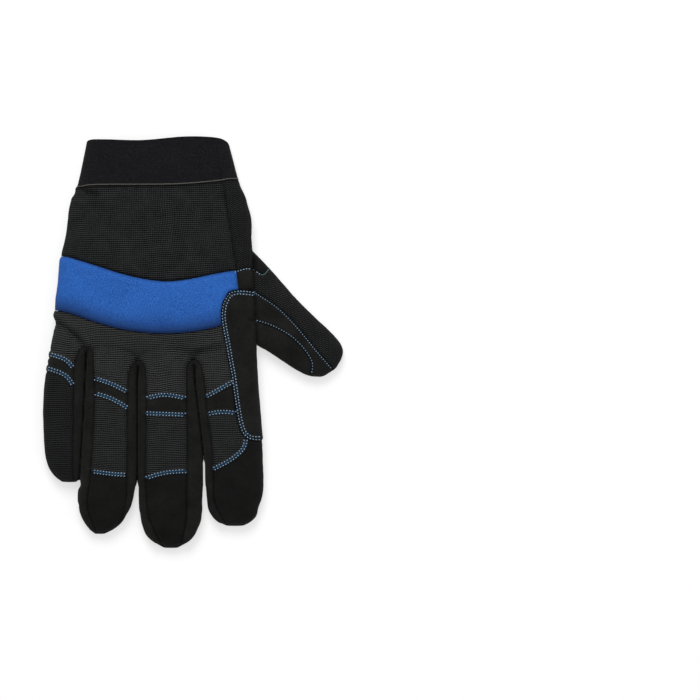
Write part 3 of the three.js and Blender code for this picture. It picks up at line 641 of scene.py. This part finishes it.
# The form is hollowed, trimmed along the cuff's rim and cut apart along its seams
cut(outer, cavity)
rimLine = seams["rim"]
cut(outer, wristSide(np.vstack([rimLine[0] + (-20, -3), rimLine, rimLine[-1] + (20, -3)])))
cut(outer, blade(seams["cuffFoot"], 0.5))
cut(outer, blade(seams["thumbRoot"]))
for line, width in zip(slits, slitWidths):
    cut(outer, blade(line[glove["slitStart"]:], width[glove["slitStart"]:]))
bpy.ops.object.select_all(action="DESELECT")
bpy.ops.mesh.primitive_grid_add(x_subdivisions=200, y_subdivisions=220, size=0.3)
level = bpy.context.object
sheet, _ = meshArrays(level)
sheet[:, 2] = seamHeight(sheet[:, 0] / mm, sheet[:, 1] / mm) * mm
setPlaces(level, sheet)
applyModifier(level, "SOLIDIFY", thickness=glove["seamCut"] * mm, offset=0)
cut(level, wristSide(seams["cuffFoot"]))
cut(outer, level)

# Each part takes the place of the node it lies on, and parts under the crumb's volume, in mm3, are dropped
crumb = 30
cadPlaces, cadFaces, cadNames = [], [], []
for name, node in nodes.items():
    start = len(cadPlaces)
    cadPlaces += [v.co for v in node.data.vertices]
    for face in node.data.polygons:
        cadFaces.append([start + i for i in face.vertices])
        cadNames.append(name)
cadTree = BVHTree.FromPolygons(cadPlaces, cadFaces)
found = {name: [] for name in nodes}


def volumeOf(piece):
    piece.data.calc_loop_triangles()
    places, _ = meshArrays(piece)
    corners = np.empty(len(piece.data.loop_triangles) * 3, int)
    piece.data.loop_triangles.foreach_get("vertices", corners)
    a, b, c = (places[corners[i::3]] for i in range(3))
    return abs(np.einsum("ij,ij->i", a, np.cross(b, c)).sum()) / 6


def sortParts(parts, done):  # keeps the parts whose nodes are done, and returns the others
    rest = []
    for part in parts:
        if volumeOf(part) < crumb * mm**3:
            bpy.data.objects.remove(part)
            continue
        places, _ = meshArrays(part)
        spots = places[:: max(len(places) // 60, 1)]
        votes = [cadNames[cadTree.find_nearest(Vector(at))[2]] for at in spots]
        node = max(set(votes), key=votes.count)
        if done(node):
            found[node].append(part)
        else:
            rest.append(part)
    return rest


def cutAlong(parts, *groups):  # lines in one group don't touch each other
    select(*parts)
    if len(parts) > 1:
        bpy.ops.object.join()
    piece = bpy.context.object
    for group in groups:
        tools = [blade(seams[name], bottom=glove["palmRise"] - 2) for name in group]
        select(*tools)
        if len(tools) > 1:
            bpy.ops.object.join()
        cut(piece, bpy.context.object)
    return splitLoose(piece)


backs = sortParts(splitLoose(outer), lambda node: node in ("palm", "thumb_palm", "cuff"))
parts = cutAlong(backs, forks, ["patch"], ["bandTop", "bandFoot"], ["sideEdge"])
overlaid = ("index_patch", "knuckle_band")
rest = sortParts(parts, lambda node: node in overlaid or node.startswith("fourchette"))
parts = cutAlong(rest, ["littleFold", "thumbOuter", "thumbInner", *crossNames], ["gusset"])
sortParts(parts, lambda node: True)
print("parts of each node:", {name: [len(p.data.vertices) for p in found[name]] for name in found})

# The finish of each node, and the limb that its knit follows
finishOf = {"cuff": "elastic", "knuckle_band": "foam"}
knits = (
    "back_panel", "side_panel", "knuckle_panel", "little_back", "ring_back", "middle_back",
    "index_back", "thumb_back", "little_root",
)
for name in nodes:
    finishOf.setdefault(name, "knit" if name in knits else "suede")


def limbOf(name):
    first = name.split("_")[0]
    return first if first in limbs and name not in ("little_root", "index_patch", "thumb_back") else "hand"


weaveLay = {
    "steps": 40, "last": 0.9, "deepest": 30, "sideDrop": 0.7, "endFrom": 0.85, "endRun": 0.15,
    "endDrop": 0.8,
}


def addWeave(piece, name):  # lays the cloth out flat, so that a knit follows the sides down
    part = limbs[limbOf(name)]
    places, _ = meshArrays(piece)
    plan = places[:, :2] / mm - part["origin"]
    along = plan @ part["run"]
    across = plan @ part["across"]
    shares = np.clip(along / part["length"], part["rows"][0][0], weaveLay["last"])
    steps = np.linspace(part["rows"][0][0], 1, weaveLay["steps"])
    middles = [(follow(part["rows"], 1, t) + follow(part["rows"], 2, t)) / 2 for t in steps]
    halves = [(follow(part["rows"], 2, t) - follow(part["rows"], 1, t)) * part["width"] / 2 for t in steps]
    tops = [follow(part["rows"], -1, t) * part["height"] for t in steps]
    middle = np.interp(shares, steps, middles) * part["width"]
    drop = np.clip(np.interp(shares, steps, tops) - places[:, 2] / mm, 0, weaveLay["deepest"])
    side = across - middle
    outward = np.clip(side / np.interp(shares, steps, halves), -1, 1) ** 3
    endward = ease((along / part["length"] - weaveLay["endFrom"]) / weaveLay["endRun"])
    endward = endward * (limbOf(name) != "hand")
    u = side + outward * drop * weaveLay["sideDrop"] * (1 - endward)
    flat = np.column_stack([u, along + endward * drop * weaveLay["endDrop"]]) * mm
    loops = np.empty(len(piece.data.loops), int)
    piece.data.loops.foreach_get("vertex_index", loops)
    layer = piece.data.uv_layers.get("weave") or piece.data.uv_layers.new(name="weave")
    layer.data.foreach_set("uv", flat[loops].ravel())


# Painted shade in the seams, slits, folds and other creases where shadow falls: how dark it is and how far
# it spreads from a line, in mm
paintedShadeLines = {
    "seams": (0.45, 0.8), "side": (0.2, 1.2), "forks": (0.3, 0.8), "slits": (0.7, 0.8),
    "mouths": (0.35, 2.2), "band": (0.65, 0.8), "palmSeam": (0.4, 0.8), "bandFoot": (0.8, 7.0),
    "bandTop": (0.4, 1.0), "welt": (0.9, 1.3),
    "thumbRoot": (0.4, 1.6), "littleFold": (0.55, 1.7), "folds": (0.35, 1.5), "bandLine": (1.0, 0.8),
}


def addPaintedShade(piece, name):  # painted shade near the seams, kept on the piece's points
    places, _ = meshArrays(piece)
    plan, height = places[:, :2] / mm, places[:, 2] / mm
    # dark: how much painted shade each point takes, the strongest of the lines near it
    dark = np.zeros(len(places))

    def paintShade(distance, key):
        depth, spread = paintedShadeLines[key]
        np.maximum(dark, depth * np.exp(-((distance / spread) ** 2)), out=dark)

    soft = {
        "sideEdge": "side", "thumbRoot": "thumbRoot", "littleFold": "littleFold",
        **dict.fromkeys(forks, "forks"),
    }
    for seam in plainSeams:
        paintShade(lineDistance(plan, seams[seam]), soft.get(seam, "seams"))
    for line in slits:
        paintShade(lineDistance(plan, line), "slits")
        paintShade(np.hypot(*(plan - line[0]).T), "mouths")
    for seam in ("bandTop", "bandFoot"):
        paintShade(lineDistance(plan, seams[seam]), seam if name == "knuckle_band" else "band")
    if name == "knuckle_band":
        paintShade(lineDistance(plan, seams["bandFoot"]), "bandLine")
    for rows, rise, _ in folds:
        if rise < 0:
            paintShade(lineDistance(plan, handLine(rows)), "folds")
    paintShade(lineDistance(plan, seams["cuffFoot"]), "welt")
    paintShade(height - seamHeight(plan[:, 0], plan[:, 1]), "palmSeam")
    dark *= ease((height - 3) / 2) * (name != "cuff")
    layer = piece.data.attributes.new("crease", "FLOAT", "POINT")
    layer.data.foreach_set("value", dark)


class Value:  # wraps a node's output, so that sums on values add Math nodes
    def __init__(self, finish, output):
        self.finish = finish
        self.output = output

    def math(self, operation, *others):
        return self.finish.node("ShaderNodeMath", {"operation": operation}, [self, *others])

    def __add__(self, other):
        return self.math("ADD", other)

    def __sub__(self, other):
        return self.math("SUBTRACT", other)

    def __rsub__(self, other):
        return self.finish.node("ShaderNodeMath", {"operation": "SUBTRACT"}, [other, self])

    def __mul__(self, other):
        return self.math("MULTIPLY", other)

    __radd__ = __add__
    __rmul__ = __mul__

    def sine(self):
        return self.math("SINE")

    def size(self):
        return self.math("ABSOLUTE")

    def clamped(self, low, high):
        return self.math("MAXIMUM", low).math("MINIMUM", high)


class Finish:  # one material and the ways to add nodes to it
    def __init__(self, name, **settings):
        self.material = bpy.data.materials.new(name)
        self.material.use_nodes = True
        self.tree = self.material.node_tree
        self.surface = self.tree.nodes["Principled BSDF"]
        for key, value in settings.items():
            self.surface.inputs[key].default_value = value

    def node(self, kind, settings, values, output=0):
        node = self.tree.nodes.new(kind)
        for key, value in settings.items():
            if key == "stops":
                ramp = node.color_ramp
                for i, (place, colour) in enumerate(value):
                    stop = ramp.elements[i] if i < 2 else ramp.elements.new(place)
                    stop.position, stop.color = place, (*colour, 1)
            else:
                setattr(node, key, value)
        pairs = values.items() if isinstance(values, dict) else enumerate(values)
        for key, value in pairs:
            self.feed(node.inputs[key], value)
        return Value(self, node.outputs[output])

    def feed(self, socket, value):
        if isinstance(value, Value):
            self.tree.links.new(value.output, socket)
        else:
            socket.default_value = value

    def place(self):
        return self.node("ShaderNodeTexCoord", {}, {}, "Object")

    def weave(self):
        layout = self.node("ShaderNodeUVMap", {"uv_map": "weave"}, {})
        split = self.node("ShaderNodeSeparateXYZ", {}, [layout])
        return split, Value(self, split.output.node.outputs[1])

    # reads the painted shade kept on the piece's points
    def crease(self):
        return self.node("ShaderNodeAttribute", {"attribute_name": "crease"}, {}, "Fac")

    def noise(self, scale, detail=2.0, vector=None, roughness=0.5):
        return self.node(
            "ShaderNodeTexNoise", {},
            {"Vector": vector or self.place(), "Scale": scale, "Detail": detail, "Roughness": roughness},
        )

    def mix(self, factor, dark, light):
        return self.node(
            "ShaderNodeMix", {"data_type": "RGBA"},
            {0: factor, 6: (*dark, 1) if isinstance(dark, tuple) else dark,
             7: (*light, 1) if isinstance(light, tuple) else light}, 2,
        )

    def colour(self, value):
        self.feed(self.surface.inputs["Base Color"], value)

    def roughness(self, value):
        self.feed(self.surface.inputs["Roughness"], value)

    def bump(self, height, distance, strength=1.0):
        result = self.node(
            "ShaderNodeBump", {},
            {"Height": height, "Distance": distance * mm, "Strength": strength},
        )
        self.feed(self.surface.inputs["Normal"], result)


# Fine black knit: wales down the hand and courses across it, pitches in millimetres
knit = {
    "wale": 1.3, "course": 1.2, "wave": 0.0, "loose": 0.45, "bend": 3.5, "grid": 0.5, "dip": 0.34,
    "gain": 1.35,
    "dark": (0.0016, 0.0018, 0.0018), "light": (0.033, 0.0345, 0.0345),
}
fingerKnit = {
    "wale": 1.35, "course": 1.12, "wave": 0.0, "loose": 0.6, "bend": 4.0, "grid": 0.28, "dip": 0.45,
    "gain": 2.3,
    "dark": (0.0008, 0.001, 0.001), "light": (0.033, 0.0343, 0.0343),
}
knuckleKnit = {**fingerKnit, "bend": 6.0, "dip": 0.54, "gain": 3.8, "light": (0.046, 0.0475, 0.0475)}
# A darker copy of the finger knit for the little finger's back: painted shade, for the less light that falls
# on it
littleKnit = {**fingerKnit, "light": (0.0205, 0.021, 0.021)}
sideKnit = {
    "wale": 2.3, "course": 1.2, "wave": 0.55, "loose": 0.5, "bend": 2.0, "grid": 0.15, "dip": 0.5,
    "gain": 2.2,
    "dark": (0.0006, 0.0008, 0.0008), "light": (0.0195, 0.02, 0.02),
}
thumbKnit = {**sideKnit, "light": (0.0225, 0.023, 0.023)}


def knitFinish(name, cloth):
    finish = Finish(name, **{"Specular IOR Level": 0.06, "Sheen Weight": 0.02, "Sheen Roughness": 0.5})
    u, v = finish.weave()
    slack = (finish.noise(260, 2) - 0.5) * (cloth["loose"] * mm)
    drift = slack + (finish.noise(38, 1) - 0.5) * (cloth["bend"] * mm)
    wales = ((u + drift) * (math.pi / (cloth["wale"] * mm))).sine()
    shift = wales * (cloth["wave"] * mm)
    courses = ((v + shift + drift) * (math.pi / (cloth["course"] * mm))).sine().size()
    loops = courses * (1 - cloth["grid"] + cloth["grid"] * wales.size())
    yarn = finish.noise(2300, 2)
    blotch = finish.noise(130, 3)
    tone = (loops - cloth["dip"]) * cloth["gain"] + (yarn - 0.5) * 0.9 + (blotch - 0.5) * 0.6
    # painted shade from the points' attribute darkens the knit in seams, slits and folds
    level = (tone - finish.crease()).clamped(0, 1)
    finish.colour(finish.mix(level, cloth["dark"], cloth["light"]))
    finish.roughness((0.95 - loops * 0.15).clamped(0, 1))
    finish.bump(loops + yarn * 0.35, 0.35)
    return finish.material


suede = {"level": 0.4, "blotch": 0.7, "dark": (0.0014, 0.0014, 0.0013), "light": (0.0115, 0.0112, 0.0108)}
# A lighter copy of the suede for the fourchettes, strips and inner sides: partly the lighter tone of these
# pieces, partly painted highlight on their rounded lobes
forkSuede = {**suede, "level": 0.5, "blotch": 1.0, "light": (0.0155, 0.015, 0.0142)}
patchSuede = {
    "level": 0.5, "blotch": 1.3, "dark": (0.0018, 0.0018, 0.0017), "light": (0.0155, 0.0152, 0.0145),
}


def suedeFinish(name, cloth):
    finish = Finish(name, **{"Specular IOR Level": 0.05, "Sheen Weight": 0.03, "Sheen Roughness": 0.6})
    nap = finish.noise(1500, 3, roughness=0.65)
    blotch = finish.noise(90, 4, roughness=0.6)
    tone = cloth["level"] + (blotch - 0.5) * cloth["blotch"] + (nap - 0.5) * 1.1
    # painted shade from the points' attribute darkens the suede in seams, slits and folds
    level = (tone - finish.crease() * 0.9).clamped(0, 1)
    finish.colour(finish.mix(level, cloth["dark"], cloth["light"]))
    finish.roughness((0.8 + nap * 0.2).clamped(0, 1))
    finish.bump(nap + blotch * 0.5, 0.2)
    return finish.material


elastic = {"rib": 0.75, "thread": 0.6, "dark": (0.0032, 0.0031, 0.0039), "light": (0.0145, 0.0141, 0.0172)}


def elasticFinish(name):
    finish = Finish(name, **{"Specular IOR Level": 0.08, "Sheen Weight": 0.02, "Sheen Roughness": 0.5})
    u, v = finish.weave()
    ribs = (v * (math.pi / (elastic["rib"] * mm))).sine().size()
    threads = (u * (math.pi / (elastic["thread"] * mm))).sine().size()
    yarn = finish.noise(1250, 3, roughness=0.7)
    blotch = finish.noise(150, 3)
    tone = ribs * 0.25 + threads * 0.12 + (yarn - 0.5) * 3.2 + (blotch - 0.5) * 0.3
    # painted shade from the points' attribute darkens the elastic, though the cuff's own points carry none
    level = (tone - finish.crease()).clamped(0, 1)
    finish.colour(finish.mix(level, elastic["dark"], elastic["light"]))
    finish.roughness((0.85 - ribs * 0.1).clamped(0, 1))
    finish.bump(ribs + threads * 0.5 + yarn * 0.3, 0.2)
    return finish.material


# edge: the colour of the painted shade along the band's edges and over its foot
foam = {"deep": (0.006, 0.044, 0.2), "bright": (0.023, 0.122, 0.45), "edge": (0.006, 0.024, 0.1)}


def foamFinish(name):
    finish = Finish(name, **{"Specular IOR Level": 0.15, "Sheen Weight": 0.04, "Sheen Roughness": 0.4})
    cloud = finish.noise(45, 2)
    grain = finish.noise(1700, 2, roughness=0.7)
    level = (0.55 + (cloud - 0.5) * 0.5 + (grain - 0.5) * 3.2).clamped(0, 1)
    cloth = finish.mix(level, foam["deep"], foam["bright"])
    # painted shade: the band darkens toward the edge colour near its seams, most of all over a wide strip
    # above its foot
    finish.colour(finish.mix(finish.crease(), cloth, foam["edge"]))
    finish.roughness((0.7 + grain * 0.2).clamped(0, 1))
    finish.bump(grain, 0.1)
    return finish.material


threads = {
    "bright": (0.4, 0.53, 0.64), "deep": (0.005, 0.052, 0.12), "ground": (0.0025, 0.03, 0.068),
    "dim": (0.27, 0.36, 0.45), "teal": (0.07, 0.135, 0.145), "welt": (0.085, 0.08, 0.068),
}


def threadFinish(name, colour):
    finish = Finish(name, **{"Specular IOR Level": 0.3})
    twist = finish.noise(3500, 2)
    dark = tuple(channel * 0.55 for channel in colour)
    finish.colour(finish.mix(twist.clamped(0, 1), dark, colour))
    finish.roughness((0.45 + twist * 0.2).clamped(0, 1))
    finish.bump(twist, 0.08)
    return finish.material


materials = {
    "knit": knitFinish("fineKnit", knit),
    "fingerKnit": knitFinish("ribbedKnit", fingerKnit),
    "knuckleKnit": knitFinish("knuckleKnit", knuckleKnit),
    "littleKnit": knitFinish("littleKnit", littleKnit),
    "sideKnit": knitFinish("wavyKnit", sideKnit),
    "thumbKnit": knitFinish("thumbKnit", thumbKnit),
    "suede": suedeFinish("blackSuede", suede),
    "forkSuede": suedeFinish("forkSuede", forkSuede),
    "patchSuede": suedeFinish("patchSuede", patchSuede),
    "elastic": elasticFinish("cuffElastic"),
    "foam": foamFinish("blueFoam"),
    "thread": threadFinish("blueThread", threads["bright"]),
    "underThread": threadFinish("deepBlueThread", threads["deep"]),
    "groundThread": threadFinish("groundThread", threads["ground"]),
    "dimThread": threadFinish("dimThread", threads["dim"]),
    "tealThread": threadFinish("tealThread", threads["teal"]),
    "welt": threadFinish("weltEdge", threads["welt"]),
}
print("materials made:", len(materials))


def finishPiece(piece, name, material, slot, *replaced):
    piece.name = piece.data.name = name
    piece.data.materials.clear()
    piece.data.materials.append(materials[material])
    select(piece)
    bpy.ops.object.shade_smooth_by_angle(angle=math.radians(50))
    if replaced:
        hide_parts(*replaced)
    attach(piece, "root")
    return piece


forkNodes = [name for name in nodes if name.startswith("fourchette") or name.endswith(("_strip", "_inner"))]
looks = {
    "side_panel": "sideKnit", "thumb_back": "thumbKnit", "back_panel": "knit",
    "knuckle_panel": "knuckleKnit", "little_root": "knuckleKnit", "little_back": "littleKnit",
    "index_patch": "patchSuede", "thumb_gusset": "patchSuede", **dict.fromkeys(forkNodes, "forkSuede"),
}
pieces = {}
for name, own in found.items():
    if not own:
        continue
    finish = finishOf[name]
    piece = own[0]
    addWeave(piece, name)
    addPaintedShade(piece, name)
    words = name.split("_")
    title = words[0] + "".join(word.title() for word in words[1:]) + finish.title()
    look = looks.get(name, "fingerKnit" if finish == "knit" else finish)
    pieces[name] = finishPiece(piece, title, look, finish, name)
print("panels finished:", len(pieces))

# One tree of all the panels, on which the stitches lie
treePlaces, treeFaces = [], []
for name, piece in pieces.items():
    if name in ("palm", "thumb_palm"):
        continue
    start = len(treePlaces)
    treePlaces += [v.co.copy() for v in piece.data.vertices]
    treeFaces += [[start + i for i in face.vertices] for face in piece.data.polygons]
skin = BVHTree.FromPolygons(treePlaces, treeFaces)


def onSkin(spot):  # the place on the glove's back under a plan position, or nothing
    hit = skin.ray_cast(Vector((spot[0] * mm, spot[1] * mm, 0.06)), Vector((0, 0, -1)))
    return hit[0]


# A stitch: one bead of thread, modelled once and laid along the seams
bpy.ops.object.select_all(action="DESELECT")
bpy.ops.mesh.primitive_uv_sphere_add(segments=6, ring_count=5, radius=0.5)
bead = bpy.context.object
beadPlaces, _ = meshArrays(bead)
beadFaces = [list(face.vertices) for face in bead.data.polygons]
bpy.data.objects.remove(bead)


def stitches(name, ends, thick, material):  # ends: pairs of places on the glove
    places, faces = [], []
    for start, end in ends:
        run = end - start
        long = run.length
        turn = run.to_track_quat("Z", "Y").to_matrix()
        turned = beadPlaces * (thick, thick, long) @ np.array(turn).T + np.array((start + end) / 2)
        faces += [[len(places) + i for i in face] for face in beadFaces]
        places += turned.tolist()
    mesh = bpy.data.meshes.new(name)
    mesh.from_pydata(places, [], faces)
    piece = bpy.data.objects.new(name, mesh)
    bpy.context.collection.objects.link(piece)
    return finishPiece(piece, name, material, "foam")


def marks(line, pitch, inset=0):  # places at equal steps along a line
    steps = np.hypot(*np.diff(line, axis=0).T)
    far = np.concatenate([[0], np.cumsum(steps)])
    count = max(int((far[-1] - 2 * inset) / pitch), 1)
    wanted = np.linspace(inset, far[-1] - inset, count + 1)
    return np.column_stack([np.interp(wanted, far, line[:, 0]), np.interp(wanted, far, line[:, 1])])


def shifted(line, side):
    run = np.gradient(line, axis=0)
    run /= np.linalg.norm(run, axis=1)[:, None]
    return line + np.column_stack([-run[:, 1], run[:, 0]]) * side


# Rows of stitches: how far each row lies to the left of its seam, the pitch and each stitch's share of it
double = {"rows": (-0.85, 0.85), "pitch": 1.75, "long": 0.4, "inset": 0.7}
thumbRow = {"long": 0.4, "thick": 0.58, "look": "dimThread"}
sewing = {
    "patch": {"rows": (0.8, 2.5), "pitch": 1.75, "long": 0.42, "part": (0.015, 1.0)},
    "gusset": {"rows": (-0.5,), "pitch": 1.6, "long": 0.45, "part": (0.0, 0.55), "thick": 0.6},
    "gussetEnd": {
        "seam": "gusset", "rows": (-0.4,), "pitch": 1.2, "long": 1.2, "part": (0.55, 1.0), "thick": 0.62,
        "look": "tealThread",
    },
    "thumbOuter": {**thumbRow, "rows": (-0.6,), "pitch": 1.6, "part": (0.12, 1.0)},
    "thumbInner": {**thumbRow, "rows": (0.6,), "pitch": 1.7, "part": (0.15, 1.0)},
    **{name: double for name in crossNames},
}
thread = {
    "thick": 0.62, "loopThick": 0.6, "lift": 0.2, "loopLift": -0.05, "groundThick": 1.05,
    "groundLift": -0.23,
}


def sewnRow(line, plan, side):  # where the needle went in, along one row
    start, end = (round(share * (len(line) - 1)) for share in plan.get("part", (0, 1)))
    row = shifted(line[start:end + 1], side)
    return [onSkin(spot) for spot in marks(row, plan["pitch"], plan.get("inset", 0))]


for name, plan in sewing.items():
    rows = [sewnRow(seams[plan.get("seam", name)], plan, side) for side in plan["rows"]]
    longest = 2 * plan["pitch"] * mm
    tops, loops, ground = [], [], []
    sunk = Vector((0, 0, thread["groundLift"] * mm))
    for row in rows:
        for start, end in zip(row[:-1], row[1:]):
            if start and end and (end - start).length < longest:
                ground.append((start + sunk, end + sunk))
                middle = (start + end) / 2 + Vector((0, 0, thread["lift"] * mm))
                half = (end - start) * plan["long"] / 2
                tops.append((middle - half, middle + half))
    if len(rows) == 2:
        lift = Vector((0, 0, thread["loopLift"] * mm))
        share = (len(rows[1]) - 1) / max(len(rows[0]) - 1, 1)
        for i in range(len(rows[0]) - 1):
            across = rows[1][min(round(i * share), len(rows[1]) - 1)]
            for start in rows[0][i:i + 2]:
                if start and across and (across - start).length < 2 * longest:
                    loops.append((start + lift, across + lift))
    stitches(f"{name}Stitches", tops, plan.get("thick", thread["thick"]) * mm, plan.get("look", "thread"))
    stitches(f"{name}Ground", ground, thread["groundThick"] * mm, "groundThread")
    if loops:
        stitches(f"{name}Loops", loops, thread["loopThick"] * mm, "underThread")
print("stitches laid")

# The welt: a bound edge round the foot of the cuff, lying in its seam
welt = {"radius": 0.32, "steps": 200}
cuffLine = seams["cuffFoot"]
ringPlaces = []
for i in range(welt["steps"]):
    turn = 2 * math.pi * i / welt["steps"]
    cosine, sine = math.cos(turn), math.sin(turn)
    side = math.copysign(abs(cosine) ** tube["sideRound"], cosine)
    along = 0.2
    for _ in range(3):
        leftEdge, rightEdge = (follow(handRows, k, along) * knuckleWidth for k in (1, 2))
        x = originX + (leftEdge + rightEdge) / 2 + (rightEdge - leftEdge) / 2 * side
        y = np.interp(x, cuffLine[:, 0], cuffLine[:, 1])
        along = (originY - y) / glove["handLength"]
    top = follow(handRows, 3, along) * glove["handHeight"]
    waist = tube["waist"] * top
    z = waist + (top - waist) * abs(sine) ** tube["topRound"]
    if sine <= 0:
        z = max(waist * (1 - tube["footReach"] * abs(sine) ** tube["footRound"]), 0)
    ringPlaces.append((x * mm, y * mm, max(z, welt["radius"]) * mm))
bpy.ops.object.select_all(action="DESELECT")
bpy.ops.curve.primitive_bezier_circle_add()
weltPiece = bpy.context.object
weltPiece.data.splines.clear()
spline = weltPiece.data.splines.new("POLY")
spline.points.add(len(ringPlaces) - 1)
for point, at in zip(spline.points, ringPlaces):
    point.co = (*at, 1)
spline.use_cyclic_u = True
weltPiece.data.bevel_depth = welt["radius"] * mm
weltPiece.data.bevel_resolution = 2
select(weltPiece)
bpy.ops.object.convert(target="MESH")
weltPiece = bpy.context.object
finishPiece(weltPiece, "cuffWeltBead", "welt", "welt", "cuff_welt")

# Floor, light and the camera straight above, which takes in the photograph's field
stage = {"floor": 16.0, "fieldWidth": 0.42, "viewAt": (0.0941, -0.0046), "lens": 200}
bpy.ops.object.select_all(action="DESELECT")
bpy.ops.mesh.primitive_plane_add(size=stage["floor"], location=(0, 0, -0.0002))
floor = bpy.context.object
floor.name = "studioFloor"
floorFinish = Finish(
    "paleFloor", **{"Base Color": (0.42, 0.42, 0.42, 1), "Roughness": 0.95, "Specular IOR Level": 0,
                    "Emission Color": (1, 1, 1, 1), "Emission Strength": 0.56},
)
floor.data.materials.append(floorFinish.material)

lamps = {
    "keyLamp": {"at": (-0.15, 0.9, 1.1), "size": 0.7, "power": 15},
    "fillLamp": {"at": (0.9, -0.4, 1.2), "size": 1.2, "power": 4},
    "topLamp": {"at": (0.0, 0.0, 1.8), "size": 1.0, "power": 5},
}
for name, lamp in lamps.items():
    bpy.ops.object.light_add(type="AREA", location=lamp["at"])
    light = bpy.context.object
    light.name = name
    light.data.size = lamp["size"]
    light.data.energy = lamp["power"]
    light.rotation_euler = (-Vector(lamp["at"])).to_track_quat("-Z", "Y").to_euler()
world = bpy.data.worlds.new("studio")
bpy.context.scene.world = world
world.use_nodes = True
world.node_tree.nodes["Background"].inputs["Color"].default_value = (1, 1, 1, 1)
world.node_tree.nodes["Background"].inputs["Strength"].default_value = 0.4
bpy.context.scene.view_settings.view_transform = "Standard"

viewX, viewY = stage["viewAt"]
sensor = 36
distance = stage["fieldWidth"] * stage["lens"] / sensor
bpy.ops.object.camera_add(location=(viewX, viewY, distance), rotation=(0, 0, 0))
camera = bpy.context.object
camera.name = "photoCamera"
camera.data.lens = stage["lens"]
camera.data.sensor_width = sensor
camera.data.clip_end = 10
bpy.context.scene.camera = camera
print("stage set")
